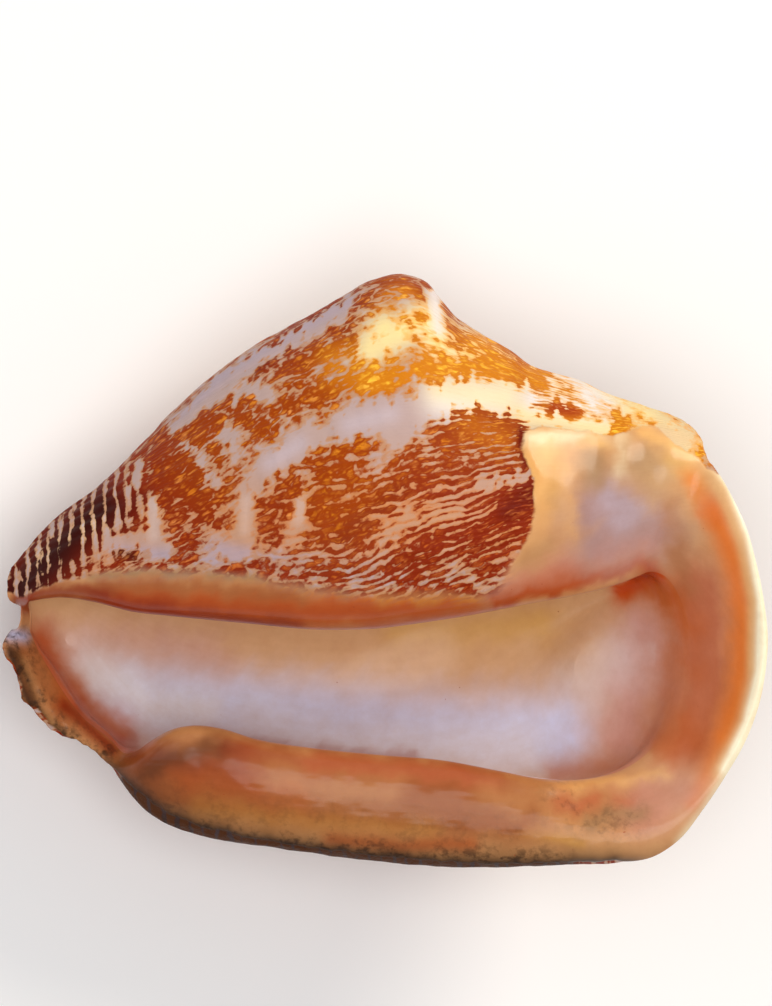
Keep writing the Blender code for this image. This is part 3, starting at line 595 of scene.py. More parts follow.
def shell_grid(rays, rows):
    """Points (rays, rows, 3). On each ray a cubic runs over the floor inside, one up the hidden wall, one over the
    face from the mouth's edge to the rim, and the back is a quarter ellipse or a thin plate with a sine rise."""
    ring = np.arange(rays) / rays
    rim_xz = smooth_curve(outline_knots()[:-1], OUTLINE, ring, 1.0)
    mouth_xz = along_ring(MOUTH, ring, 1.0)
    profiles = along_ring(PROFILES, ring, 1.0).T
    rim_y, mouth_y, mouth_angle, mouth_pull, rim_pull, overhang, wall_y, wall_angle, plate, thick = profiles
    side = np.minimum(ring, 1 - ring) * 2
    floor_mid = smooth_curve(FLOOR_LINE[:, 0], FLOOR_LINE[:, 1:], side, flat_ends=True)
    back_mid = smooth_curve(BACK_LINE[:, 0], BACK_LINE[:, 1:], side, flat_ends=True)
    rim = np.stack([rim_xz[:, 0], rim_y, rim_xz[:, 1]], 1)
    soft = blur_ring(rim, rays * RIM_BLUR)
    mouth = np.stack([mouth_xz[:, 0], mouth_y, mouth_xz[:, 1]], 1)
    deeper = np.array([0.0, 1.0, 0.0])
    outward = flat_unit(mouth - floor_mid)
    across = flat_unit(rim - mouth)
    wall = mouth + outward * overhang[:, None]
    wall[:, 1] = wall_y
    cos_mouth, sin_mouth = np.cos(np.radians(mouth_angle))[:, None], np.sin(np.radians(mouth_angle))[:, None]
    cos_wall, sin_wall = np.cos(np.radians(wall_angle))[:, None], np.sin(np.radians(wall_angle))[:, None]
    wall_way = outward * cos_wall - deeper * sin_wall
    face_way = across * cos_mouth - deeper * sin_mouth
    edge_way = outward * cos_mouth - deeper * sin_mouth

    def gap(a, b):
        """Distances from a to b."""
        return np.linalg.norm(a - b, axis=1, keepdims=True)

    share = {name: np.linspace(0, 1, count + 1)[1:] for name, count in rows.items()}
    reach = gap(floor_mid, wall)
    from_line = np.linspace(NEAR_LINE, 1, rows["floor"] + 1)
    floor = bezier(floor_mid, floor_mid + outward * 0.42 * reach, wall - wall_way * 0.38 * reach, wall, from_line)
    reach = gap(wall, mouth)
    inner = bezier(wall, wall + wall_way * 0.4 * reach, mouth - edge_way * 0.4 * reach, mouth, share["wall"])
    to_rim = share["face"] * (1.25 - 0.25 * share["face"])
    face_pull, rim_pull = face_way * mouth_pull[:, None], deeper * rim_pull[:, None]
    face = bezier(mouth, mouth + face_pull, soft - rim_pull, soft, to_rim)
    face = face + (rim - soft)[:, None, :] * to_rim[None, :, None] ** 4
    relief = sum(h * bump(face[..., 0], face[..., 2], x, z, a, b) for x, z, h, a, b in FACE_FOLDS)
    face[..., 1] -= relief * (1 - to_rim[None, :] ** 8)

    in_way = (1 - NEAR_LINE) * share["back"] ** 2 * (3 - share["back"]) / 2
    plan = soft[:, None, :] + (back_mid - soft)[:, None, :] * in_way[None, :, None]
    plan = plan + (rim - soft)[:, None, :] * (1 - in_way[None, :, None]) ** 6
    x, z = plan[..., 0], plan[..., 2]
    run = gap(soft * [1, 0, 1], back_mid * [1, 0, 1]) * in_way[None, :]
    start = soft[:, 1:2] + (rim - soft)[:, 1:2] * (1 - in_way[None, :]) ** 6
    rise = back_mid[:, 1:2] - start
    thick = thick[:, None]
    dome = rise * np.sqrt(1 - (1 - in_way[None, :]) ** 2)
    edge = np.sqrt(1 - (1 - np.clip(run / (0.7 * thick), 0, 1)) ** 2)
    hollow = 1 + PLATE_HOLLOW * ease(soft[:, :1] / HOLLOW_END)
    sheet = thick * edge + (rise - thick) * np.sin(0.5 * np.pi * in_way[None, :]) ** hollow
    part = np.clip(plate, 0, 1)[:, None]
    y = start + dome * (1 - part) + sheet * part
    y = y + sum(h * bump(x, z, cx, cz, r, r) for cx, cz, h, r in BACK_KNOBS) * ease(run / 10.0)
    y = y + (smooth_max(y, spire_depth(x, z), 3.0) - y) * ease(run / 7.0)
    back = np.stack([x, y, z], -1)
    return np.concatenate([floor, inner, face, back], 1)


def grid_faces(rays, rows):
    """Quads between neighbouring rays and rows, closed round the ring, and quads across each of the two slits."""
    ray, row = np.meshgrid(np.arange(rays), np.arange(rows - 1), indexing="ij")
    ray, row = ray.ravel(), row.ravel()
    after = (ray + 1) % rays
    faces = np.stack([ray * rows + row, after * rows + row, after * rows + row + 1, ray * rows + row + 1], 1).tolist()
    half = rays // 2
    k = np.arange(1, half - 1)
    for last in (0, rows - 1):
        strip = (np.stack([k, k + 1, rays - k - 1, rays - k], 1) * rows + last).tolist()
        strip.append([last, rows + last, (rays - 1) * rows + last])
        strip.append([(half - 1) * rows + last, half * rows + last, (half + 1) * rows + last])
        faces += strip if last else [face[::-1] for face in strip]
    return faces


def calmed(p, rounds, pull):
    """Each point drawn by its pull towards the mean of its four neighbours, again and again. The first row's neighbour
    across the slit is the ray that faces it."""
    last = pull.shape[1]
    facing = (-np.arange(len(p))) % len(p)
    part = p[:, : last + 1].copy()
    for _ in range(rounds):
        before = np.concatenate([part[facing, :1], part[:, : last - 1]], 1)
        mean = (np.roll(part, 1, 0)[:, :last] + np.roll(part, -1, 0)[:, :last] + before + part[:, 1:]) / 4
        part[:, :last] += (mean - part[:, :last]) * pull[..., None]
    return np.concatenate([part, p[:, last + 1 :]], 1)


def smoothed(p):
    """The floor inside and the bowl at the rear are calmed, and what this took from the broad form is given back: the
    difference from the first points, calmed as well, is added again and again. Last, the edge between the mouth and
    the bowl is calmed on its own, by a bell of the rows from it."""
    rays = len(p)
    ring = (np.arange(rays) / rays)[:, None]
    knots = outline_knots()
    start, end = knots[BOWL_POINTS[0]], knots[BOWL_POINTS[1]]
    bowl = ease((ring - start) / 0.02) * ease((end - ring) / 0.04)
    last = FACE_ROW + int(0.6 * ROWS["face"])
    row = np.arange(last)[None, :]
    floor = 1 - ease((row - 0.5 * ROWS["floor"]) / (FACE_ROW - 4 - 0.5 * ROWS["floor"]))
    over = 1 - ease((row - FACE_ROW) / (last - FACE_ROW - 4))
    pull = 0.9 * np.maximum(floor, bowl * over)
    result = calmed(p, CALM_ROUNDS, pull)
    for _ in range(CALM_RETURNS):
        result = result + calmed(p - result, CALM_ROUNDS, pull)
    edge = 0.9 * bowl * np.exp(-(((row - FACE_ROW) / EDGE_ROWS) ** 2))
    return calmed(result, EDGE_ROUNDS, edge)


def grid_normals(p):
    """Cross products of the differences to the next rays and rows, over their lengths."""
    round_way = np.roll(p, -1, 0) - np.roll(p, 1, 0)
    down_way = np.gradient(p, axis=1)
    n = np.cross(round_way, down_way)
    return n / np.maximum(np.linalg.norm(n, axis=2, keepdims=True), 1e-9)


def foot_distance(x, z, a, b):
    """Distance to the nearest point a + t(b - a) of a straight piece, t held between 0 and 1."""
    (ax, az), (bx, bz) = a, b
    dx, dz = bx - ax, bz - az
    t = np.clip(((x - ax) * dx + (z - az) * dz) / max(dx * dx + dz * dz, 1e-9), 0, 1)
    return np.hypot(x - ax - t * dx, z - az - t * dz)


def line_distance(x, z, line):
    """Distance to a closed chain of points, positive inside it: the nearest foot on a piece, and a crossing count."""
    best = np.full(x.shape, FAR_OFF)
    inside = np.zeros(x.shape, bool)
    for a, b in zip(line, np.roll(line, -1, 0)):
        best = np.minimum(best, foot_distance(x, z, a, b))
        at = a[0] + (z - a[1]) * (b[0] - a[0]) / ((b[1] - a[1]) or 1e-9)
        inside ^= ((a[1] > z) != (b[1] > z)) & (x < at)
    return np.where(inside, best, -best)


def along_rows(p, row):
    """Length along each ray from one row, negative before it."""
    step = np.linalg.norm(np.diff(p, axis=1), axis=2)
    run = np.concatenate([np.zeros((len(p), 1)), np.cumsum(step, axis=1)], 1)
    return run - run[:, row : row + 1]


def stroke(x, z, points, width):
    """A bell of the distance to a chain of points: exp(-(distance / width)^2)."""
    nearest = np.full(x.shape, FAR_OFF)
    for a, b in zip(points, points[1:] or points):
        nearest = np.minimum(nearest, foot_distance(x, z, a, b))
    return np.exp(-((nearest / width) ** 2))


def stroked(x, z, rows):
    """The sum of each row's strength times its stroke."""
    return sum(strength * stroke(x, z, points, width) for strength, width, *points in rows)


def held(values):
    """Values held between 0 and 1."""
    return np.clip(values, 0, 1)


def washed(x, z, palette, base, washes):
    """Each wash covers the colour under it by its strength times its stroke, held at 1."""
    colour = np.broadcast_to(palette[base], x.shape + (3,)).copy()
    for name, strength, width, *points in washes:
        share = held(strength * stroke(x, z, points, width))[..., None]
        colour += (palette[name] - colour) * share
    return colour


def coil_place(p):
    """Millimetres along the coil's axis and round it: the angle from the viewer's side, read as the arc length that
    one section over the top of the body and back to the lip has up to that angle. Third, a bell round the axis."""
    along, across = axis_place(p[..., 0], p[..., 2])
    dy = p[..., 1] - AXIS_POINT[1]
    angle = np.degrees(np.arctan2(across, -dy))
    angle = np.where(angle < SEAM_ANGLE, angle + 360, angle)
    knots = outline_knots()
    over, under = (int(round(knots[i] * len(p))) for i in SECTION_POINTS)
    ring = np.concatenate([p[over, FACE_ROW:], p[under, BACK_ROW:][::-1]])
    turn = np.concatenate([angle[over, FACE_ROW:], angle[under, BACK_ROW:][::-1]])
    run = np.concatenate([[0], np.cumsum(np.linalg.norm(np.diff(ring, axis=0), axis=1))])
    order = np.argsort(turn)
    turn, run = turn[order], np.maximum.accumulate(run[order])
    turn, run = np.append(turn, turn[-1] + 60), np.append(run, run[-1] + 52)
    arc = np.interp(angle, turn, run)
    return along, arc, np.exp(-((np.hypot(across, dy) / np.where(along > 0, POLE_WIDTH[1], POLE_WIDTH[0])) ** 2))


def dress(p, to_rim, reach, palette):
    """The fields that the shell's material reads, each on the grid: distances in mm, places on the coil, how crowded
    the markings are, and the three washes of colour. to_rim is the length before the rim, reach the length into the
    mouth."""
    x, z = p[..., 0], p[..., 2]
    in_mouth, behind = reach >= 0, ease(-to_rim / 9.0)
    wander = ripple(x, z, 9.0, 3)
    margin = along_ring(GLAZE_MARGIN, np.arange(len(p)) / len(p))
    glaze = np.minimum(line_distance(x, z, GLAZE_LINE) + 0.5 * wander, to_rim - margin + 0.7 * wander)
    glaze = np.where(in_mouth, np.maximum(glaze, 5.0), glaze)
    along, arc, pole = coil_place(p)

    # The markings
    off_x = x + RAGGED[0] * ripple(x, z, 5.0, 51)
    off_z = z + RAGGED[1] * ripple(x, 0.3 * z, 3.6, 52)
    bands = BACK_BANDS * np.sin(arc / 9.5 + 0.6 * ripple(along, arc, 30, 5))
    hidden = BACK_CROWDING + BACK_PATCHES * ripple(along, arc, 46.0, 11) + bands
    crowding = stroked(off_x, off_z, CROWDING) * (1 - behind) + hidden * behind
    lined = held(stroked(x, z, LINED)) * (1 - behind) + 0.5 * behind
    line_middle = along[lined > 0.9].mean()

    # The outside's colours
    back = behind[..., None]
    tone = (0.5 + 0.5 * ripple(along, arc, 38.0, 17))[..., None]
    ground = washed(x, z, palette, "pale", GROUND_WASHES) * (1 - back)
    ground += (palette["pale"] * (1 - 0.6 * tone) + palette["straw"] * 0.6 * tone) * back
    stain = washed(x, z, palette, "russet", STAIN_WASHES) * (1 - back)
    stain += (palette["chestnut"] * tone + palette["mahogany"] * (1 - tone)) * back

    # The glaze's colours, their strokes made uneven away from the rim, and painted shade where the glaze ends at the
    # underside
    sway = ease((to_rim - 3.0) / 10.0)
    wash_x, wash_z = (
        value + sway * (0.9 * ripple(x, z, 11.0, seed) + 0.35 * ripple(x, z, 3.5, seed + 1))
        for value, seed in ((x, 61), (z, 63)))
    inside, face = (washed(wash_x, wash_z, palette, "tan", washes) for washes in (INSIDE_WASHES, FACE_WASHES))
    bowl = stroke(x, z, BOWL_LINE, BOWL_WIDTH)[..., None]
    face_depth = DEPTH[1] + (DEPTH[0] - DEPTH[1]) * held(1.4 * bowl)
    wash = np.where(in_mouth[..., None], inside ** DEPTH[0], face ** face_depth)
    # Painted shade: near its end along the lip's foot the glaze is darkened towards umber
    edge = stroke(x, z, UNDERSIDE, 9.0) * ~in_mouth
    painted_foot_shade = edge * (0.55 * np.exp(-((glaze / 4.2) ** 2)) + 0.40 * np.exp(-((glaze / 1.6) ** 2)))
    wash = wash + (palette["umber"] - wash) * held(painted_foot_shade)[..., None]
    return {
        "glaze": glaze, "crowding": crowding, "lined": lined, "pole": pole,
        "toothed": held(stroked(x, z, TOOTHED)) * (1 - behind),
        "veil": held(stroked(x, z, VEILED)),
        "worn": held(stroked(x, z, WORN)) * ~in_mouth,
        "coil": np.stack([along, arc, arc - LINE_RISE * (along - line_middle) * lined], -1),
        "ground": ground, "stain": stain, "wash": wash}


def relief(p, to_rim, reach, fields):
    """Height to add along the normals, in mm: the glaze's raised edge, a low unevenness of the outside, the wrinkles
    of the canal's lip, the ridge on the lip and the lumps of the lip roll, each a ripple or a step times the stroke
    where it belongs, and nothing at the slits."""
    x, z = p[..., 0], p[..., 2]
    glaze, coil = fields["glaze"], fields["coil"]
    along, arc = coil[..., 0], coil[..., 1]
    open_side = (reach < 0) & (to_rim > -3.0)
    edge = EDGE_STEP[0] + (EDGE_STEP[1] - EDGE_STEP[0]) * stroke(x, z, STEP_LINE, 7.0)
    height = edge * ease((glaze + 0.4) / 0.9) * np.exp(-((np.maximum(glaze, 0) / 9.0) ** 2)) * open_side
    lumps = OUTSIDE_RELIEF[0] * ripple(along, arc, 12.0, 21)
    cords = OUTSIDE_RELIEF[1] * np.sin(arc * 1.15 + 2 * ripple(along, arc, 25, 8))
    height = height + (1 - ease(glaze + 1.0)) * (lumps + cords)
    canal = stroke(x, z, CANAL_LIP, 4.6) * np.exp(-((to_rim / 6.5) ** 2))
    height = height + canal * WRINKLE * ripple(along * 0.6, z * 1.4, 5.5, 31)
    height = height + RIDGE_HEIGHT * stroke(x, z, LIP_RIDGE, 1.3) * (reach < 0) * (to_rim > 0)
    roll = stroke(x, z, LIP_ROLL, 9.0) * (reach < -1.5) * (to_rim > 0)
    height = height + roll * ROLL_LUMP * ripple(x * 0.7, z, 7.0, 41)
    row = np.arange(p.shape[1])[None, :]
    return height * ease(row / 6.0) * ease((p.shape[1] - 1 - row) / 10.0)


class Web:
    """Adds nodes to a shader tree. Each call gives back the output of the node that it adds."""

    def __init__(self, tree):
        self.tree = tree

    def node(self, kind, **settings):
        """A node of this kind with these settings"""
        made = self.tree.nodes.new("ShaderNode" + kind)
        for name, value in settings.items():
            setattr(made, name, value)
        return made

    def feed(self, socket, value):
        """Links a socket to an output, or sets it to a number"""
        if isinstance(value, bpy.types.NodeSocket):
            self.tree.links.new(value, socket)
        else:
            socket.default_value = value

    def filled(self, made, values):
        """The node with its inputs fed: names or numbers of the inputs, with their values"""
        for key, value in values.items():
            self.feed(made.inputs[key], value)
        return made

    def math(self, operation, *values):
        """A sum, product or other operation on numbers"""
        return self.filled(self.node("Math", operation=operation), dict(enumerate(values))).outputs[0]

    def times(self, first, second):
        """first times second"""
        return self.math("MULTIPLY", first, second)

    def total(self, *terms):
        """The sum of (value, weight) pairs"""
        result = 0.0
        for value, weight in terms:
            result = self.math("MULTIPLY_ADD", value, weight, result)
        return result

    def shared(self, values, shares):
        """The sum of the named values, each times its share"""
        return self.total(*((values[name], share) for name, share in shares.items()))

    def step(self, value, low, high, start=0.0, end=1.0):
        """From start to end as the value goes from low to high, easing at both"""
        made = self.node("MapRange", interpolation_type="SMOOTHSTEP")
        return self.filled(made, dict(enumerate((value, low, high, start, end)))).outputs[0]

    def mix(self, share, first, second, blend="MIX"):
        """A colour between first and second"""
        made = self.node("Mix", data_type="RGBA", blend_type=blend)
        return self.filled(made, {0: share, 6: first, 7: second}).outputs[2]

    def multiplied(self, share, first, second):
        """The colour first, and this share of it times the colour second"""
        return self.mix(share, first, second, "MULTIPLY")

    def lean(self, share, first, second):
        """A number between first and second"""
        return self.filled(self.node("Mix", data_type="FLOAT"), {0: share, 2: first, 3: second}).outputs[0]

    def noise(self, place, size, detail=2.0, rough=0.5):
        """Noise from about -1 to 1, its lumps about size mm across"""
        values = {"Vector": place, "Scale": 1.0 / size, "Detail": detail, "Roughness": rough}
        return self.math("MULTIPLY_ADD", self.filled(self.node("TexNoise"), values).outputs[0], 2.4, -1.2)

    def field(self, name, output="Fac"):
        """One of the mesh's attributes"""
        return self.node("Attribute", attribute_name=name).outputs[output]

    def join(self, x, y, z=0.0):
        """A vector of three numbers"""
        return self.filled(self.node("CombineXYZ"), {0: x, 1: y, 2: z}).outputs[0]

    def split(self, kind, value):
        """The three parts of a vector or a colour"""
        return self.filled(self.node(kind), {0: value}).outputs


def rgba(colour):
    """The colour with full cover."""
    return (*colour, 1.0)


def node_material(name):
    """A new material with nodes, its main shader, and the web that adds nodes to it."""
    material = bpy.data.materials.new(name)
    material.use_nodes = True
    return material, material.node_tree.nodes["Principled BSDF"], Web(material.node_tree)


def shell_material(sizes, colours):
    """The outside's markings are a field: crowding, lines round the coil and noise added up. Where it is above 0 the
    stain shows, darker at its edges. The glaze covers them where its distance is above 0."""
    material, shader, web = node_material("glazed_shell")
    scaled = {"Vector": web.node("TexCoord").outputs["Object"], "Scale": (1000, 1000, 1000)}
    place = web.filled(web.node("Mapping"), scaled).outputs[0]
    along, arc, drawn_arc = web.split("SeparateXYZ", web.field("coil", "Vector"))
    glaze, crowding, lined, toothed, pole, veil, worn = (
        web.field(name) for name in ("glaze", "crowding", "lined", "toothed", "pole", "veil", "worn"))
    ground, stain, wash = (web.field(name, "Color") for name in ("ground", "stain", "wash"))

    broad = web.noise(place, 9.0)
    middle = web.noise(place, 3.4, 3.0)
    fine = web.noise(place, 1.3, 3.0, 0.6)
    # Lines round the coil: noise drawn out along the axis, and a sine of the arc, both bent by the broad noises.
    track = web.total((drawn_arc, 1.0), (along, -sizes.line_lean), (broad, 1.7), (middle, 0.8))
    streak = web.noise(web.join(web.times(along, 0.22), track), sizes.line_gap, 2.0, 0.55)
    lines = web.math("SINE", web.total((track, 2 * math.pi / sizes.line_gap), (streak, 1.9), (fine, 0.7)))
    # Teeth: noise drawn out round the coil, and at the tip a sine of the length along the axis, bent by such noise.
    teeth = web.noise(web.join(web.total((along, 1.0), (arc, 0.35)), web.times(arc, 0.25)), 2.4, 3.0)
    tip_teeth = web.noise(web.join(web.total((along, 1.0), (arc, -0.06)), web.times(arc, 0.11)), 1.7, 2.0)
    tip_lines = web.math("SINE", web.total((along, 2.7), (arc, -0.16), (tip_teeth, 2.9), (middle, 1.5)))
    # Blotches, thin pale veins where a noise passes 0, and rings round where another does.
    slanting = web.join(web.total((along, 0.6), (arc, 0.12)), web.total((arc, 1.0), (along, -0.3)))
    blotch = web.noise(slanting, 3.6, 4.0, 0.62)
    veins = web.step(web.math("ABSOLUTE", web.noise(slanting, 2.7, 1.5, 0.5)), 0.02, 0.24, 1.0, 0.0)
    ring = web.math("ABSOLUTE", web.noise(slanting, 2.1, 2.0, 0.55))
    values = {
        "streak": streak, "lines": lines, "fine": fine, "veins": veins, "blotch": blotch, "teeth": teeth,
        "tip teeth": tip_teeth, "tip lines": tip_lines, "even": 1.0}
    patches, drawn, spiked = (web.shared(values, shares) for shares in (PATCH_SHARES, LINE_SHARES, TOOTH_SHARES))
    texture = web.lean(toothed, web.lean(lined, patches, drawn), spiked)
    mottled = web.total((web.noise(place, 2.4, 4.0, 0.6), 1.0), (fine, 0.2), (0.24, 1.0))
    texture = web.lean(web.step(pole, 0.05, 0.6), texture, mottled)
    field = web.math("MULTIPLY_ADD", crowding, 1.15, texture)
    mark = web.step(field, -0.10, 0.16)

    # Gaps are pale where they are wide, and tan close to a marking.
    ground = web.multiplied(web.step(field, -0.55, -0.05), ground, rgba(HALO))
    ground = web.mix(web.times(web.step(broad, -0.8, 0.9), 0.12), ground, rgba(colours.lilac))
    # A marking is dark along its edges, in rings and where a line runs through it, and golden between these.
    core = web.math("MULTIPLY_ADD", crowding, 0.35, texture)
    heart = web.times(web.step(core, 0.0, 0.55), web.step(ring, 0.04, 0.34))
    heart = web.times(heart, web.step(toothed, 0.0, 0.6, 1.0, 0.0))
    clear = web.step(web.total((lines, 0.42), (streak, 0.55), (fine, 0.35)), -0.05, 0.50, 1.0, 0.0)
    heart = web.times(heart, web.math("MAXIMUM", clear, web.lean(lined, 0.85, 0.15)))
    sandy = web.step(web.total((middle, 0.7), (blotch, 0.5)), -0.35, 0.75, 0.0, 0.75)
    golden = web.mix(sandy, web.multiplied(1.0, stain, rgba(GOLDEN)), rgba(colours.sand))
    bright = web.step(web.split("SeparateColor", stain)[1], 0.11, 0.28)
    dark = web.multiplied(1.0, stain, web.mix(bright, *map(rgba, DARKENED)))
    outside = web.mix(mark, ground, web.mix(heart, dark, golden))

    # The glaze: its edge is ragged, streaks and clouds vary its washes, and markings show through its thin edge.
    ragged = web.total((glaze, 1.0), (middle, 0.35), (fine, 0.22))
    cover = web.step(ragged, -0.25, web.math("MULTIPLY_ADD", veil, 2.6, 0.3))
    grain = web.noise(web.join(web.times(along, 0.09), arc), 1.6, 3.0)
    cloud = web.noise(place, 5.0, 6.0, 0.7)
    streaked = web.total((grain, 0.04), (cloud, 0.16), (middle, 0.05), (1.0, 1.0))
    cooler = web.join(web.total((streaked, 0.6), (0.4, 1.0)), streaked, web.total((streaked, 1.3), (-0.3, 1.0)))
    wash = web.multiplied(1.0, wash, cooler)
    seen = web.times(mark, web.times(web.step(ragged, 0.5, 4.5, 0.3, 0.0), veil))
    speck = web.step(web.noise(place, 0.9, 0.0), 0.92, 1.02, 0.0, 0.55)
    mottle = web.times(worn, web.step(web.total((middle, 0.7), (fine, 0.7)), -0.15, 0.45, 0.0, 0.85))
    for share, colour in ((seen, colours.shade), (speck, colours.rust), (mottle, colours.umber)):
        wash = web.mix(share, wash, rgba(colour))

    # Fine relief: ridges and cords outside, a soft unevenness on the glaze, its edge, and creases where it is worn.
    gloss = web.total((0.35, 1.0), (broad, 0.03), (fine, 0.015))
    dull = web.total((0.48, 1.0), (fine, 0.06), (mark, 0.05))
    ridge = web.math("SINE", web.total((arc, 4.6), (middle, 1.4)))
    ridge = web.times(ridge, web.step(toothed, 0, 0.7, 1.0, 0.0))
    cord = web.math("SINE", web.total((along, 2.1), (middle, 0.5)))
    rough_height = web.total((fine, 0.035), (ridge, 0.028), (cord, 0.020), (middle, 0.05), (mark, 0.015))
    sleek_height = web.total((broad, 0.10), (middle, 0.02), (grain, 0.012))
    height = web.lean(cover, rough_height, sleek_height)
    height = web.math("MULTIPLY_ADD", web.step(ragged, -0.3, 0.45), sizes.edge_height, height)
    height = web.math("ADD", height, web.times(worn, web.total((middle, 0.22), (fine, 0.14))))
    relief_node = web.filled(web.node("Bump"), {"Strength": 1.0, "Distance": 0.001, "Height": height})
    web.filled(shader, {
        "Base Color": web.mix(cover, outside, wash),
        "Roughness": web.lean(worn, web.lean(cover, dull, gloss), 0.6),
        "Metallic": 0.0,
        "Coat Weight": web.lean(worn, web.lean(cover, 0.0, 0.36), 0.0),
        "Coat Roughness": 0.16,
        "Specular IOR Level": 0.09,
        "Normal": relief_node.outputs[0]})
    return material


def rest_matrix(length):
    """Turns the drawn shell into its resting pose: lean back about x, then to the side about y, and scale."""
    scale = Matrix.Scale(length / DRAWN_LENGTH, 4)
    return Matrix.Rotation(LEAN_SIDE, 4, "Y") @ Matrix.Rotation(LEAN_BACK, 4, "X") @ scale


def world_points(p, matrix, shift):
    """Drawn points turned, scaled and shifted, and none of them below the floor."""
    turn = np.array(matrix)[:3, :3]
    placed = p.reshape(-1, 3) @ turn.T - shift
    placed[:, 2] = np.maximum(placed[:, 2], 0)
    return placed


def floor_shift(p, matrix):
    """The middle of the turned points, and their lowest height less the flat cut."""
    placed = p.reshape(-1, 3) @ np.array(matrix)[:3, :3].T
    low, high = placed.min(0), placed.max(0)
    return np.array([(low[0] + high[0]) / 2, (low[1] + high[1]) / 2, low[2] + FLAT_CUT])


def rested(length):
    """The drawn shell, the matrix that turns it into its resting pose, and the shift that sets it on the floor."""
    p = shell_grid(RAYS, ROWS)
    matrix = rest_matrix(length)
    return p, matrix, floor_shift(p, matrix)


def srgb(*levels):
    """Colour levels from 0 to 255 as linear light."""
    part = np.array(levels) / 255
    return tuple(np.where(part <= 0.04045, part / 12.92, ((part + 0.055) / 1.055) ** 2.4).tolist())


def tint(name, description, *levels):
    """A colour property, its default given in levels from 0 to 255."""
    return bpy.props.FloatVectorProperty(
        name=name, description=description, subtype="COLOR", size=3, min=0.0, max=1.0, default=srgb(*levels))


def amount(name, description, default, low=0.0, high=100.0, **more):
    """A number property with its range."""
    return bpy.props.FloatProperty(name=name, description=description, default=default, min=low, max=high, **more)


class ShellSizes(bpy.types.PropertyGroup):
    """Sizes of the shell and of its markings"""

    length: amount(
        "Length", "From the front canal to the far side of the lip", 0.145, 0.05, 0.5, subtype="DISTANCE",
        unit="LENGTH")
    line_gap: amount("Line gap", "Distance between the brown lines, in mm", 1.7, 0.3, 6.0)
    line_lean: amount("Line lean", "Rise of the lines along the axis", 0.02, -1.0, 1.0, subtype="FACTOR")
    edge_height: amount("Edge height", "Height of the glaze's edge in the bump, in mm", 0.16, 0.0, 1.0)


class ShellColours(bpy.types.PropertyGroup):
    """Colours of the glaze, of the outside and of the markings"""

    tan: tint("Tan", "Glaze in general", 222, 176, 128)
    honey: tint("Honey", "Warm yellow glaze", 226, 178, 98)
    amber: tint("Amber", "Orange-brown glaze", 200, 100, 34)
    rust: tint("Rust", "Dark line along the inner lip", 160, 62, 26)
    blush: tint("Blush", "Pink glaze", 212, 158, 142)
    clay: tint("Clay", "Brownish-pink glaze", 202, 122, 86)
    peach: tint("Peach", "Thin glaze over the spire", 240, 194, 132)
    # Cream is partly the lip's pale edge and partly painted glow along the thin rim; on the callus it also paints a
    # highlight
    cream: tint("Cream", "Outer edge of the lip", 255, 244, 214)
    flame: tint("Flame", "Orange band inside the lip", 240, 130, 46)
    ember: tint("Ember", "Deep orange of the rear notch", 206, 84, 18)
    porcelain: tint("Porcelain", "Lavender-white glaze", 213, 212, 236)
    white: tint("White", "Whitest glaze", 238, 231, 232)
    mauve: tint("Mauve", "Greyish pink of the glaze over the spire", 190, 160, 156)
    sand: tint("Sand", "Light hearts of the markings", 228, 150, 84)
    # In the callus's hollows slate is painted shade; elsewhere it is the glaze's own grey
    slate: tint("Slate", "Grey hollows and specks", 176, 146, 112)
    bark: tint("Bark", "Brown of the lip roll", 180, 120, 76)
    brick: tint("Brick", "Deep red-brown of the canal's lip", 160, 60, 20)
    # Along the lip's foot olive and umber are partly painted shade over the outside's own dark colour; umber also
    # darkens the canal lip's edge and the worn mottles
    olive: tint("Olive", "Worn edge of the lip", 104, 76, 50)
    umber: tint("Umber", "Darkest part of the worn edge", 50, 30, 18)
    shade: tint("Shade", "Markings seen through the glaze", 130, 98, 104)
    pale: tint("Pale", "Outside between the markings", 188, 160, 152)
    lilac: tint("Lilac", "Cool tone of the outside", 176, 160, 178)
    straw: tint("Straw", "Warm tone of the outside", 200, 138, 84)
    # Butter and gold are partly the shell's own colours and partly painted light, where the knob and the spire are lit
    butter: tint("Butter", "Yellow tone at the knob and the spire", 247, 224, 156)
    gold: tint("Gold", "Markings at the knob", 238, 166, 36)
    chestnut: tint("Chestnut", "Orange-brown markings", 200, 104, 8)
    russet: tint("Russet", "Red-brown markings", 176, 66, 6)
    mahogany: tint("Mahogany", "Dark red-brown markings", 140, 42, 8)
    soot: tint("Soot", "Markings at the front tip", 60, 12, 4)


class StudioLook(bpy.types.PropertyGroup):
    """Floor, lights and camera"""

    floor: tint("Floor", "Colour of the floor", 250, 250, 250)
    key: amount("Key light", "Warm soft light from the upper right", 11.5, unit="POWER")
    top: amount("Top light", "Neutral soft light from above the mouth", 9.0, unit="POWER")
    fill: amount("Fill light", "Cool soft light from the left", 2.8, unit="POWER")
    sky: amount("Sky", "Light from all round", 0.38, 0.0, 5.0)
    distance: amount(
        "Camera distance", "From the camera to the mouth of the shell", 2.0, 0.3, 10.0, subtype="DISTANCE",
        unit="LENGTH")


def put(name, data):
    """A new object that shows this data, in the scene."""
    made = bpy.data.objects.new(name, data)
    bpy.context.scene.collection.objects.link(made)
    return made


def store(mesh, name, values):
    """Puts a field on the mesh's points: as a colour if it is one of the washes, as a vector if it is a place."""
    kind, target = ("FLOAT", "value") if values.ndim == 2 else ("FLOAT_VECTOR", "vector")
    if name in ("ground", "stain", "wash"):
        kind, target = "FLOAT_COLOR", "color"
        values = np.concatenate([values, np.ones(values.shape[:2] + (1,))], -1)
    layer = mesh.attributes.new(name, kind, "POINT")
    layer.data.foreach_set(target, np.ascontiguousarray(values, np.float32).ravel())


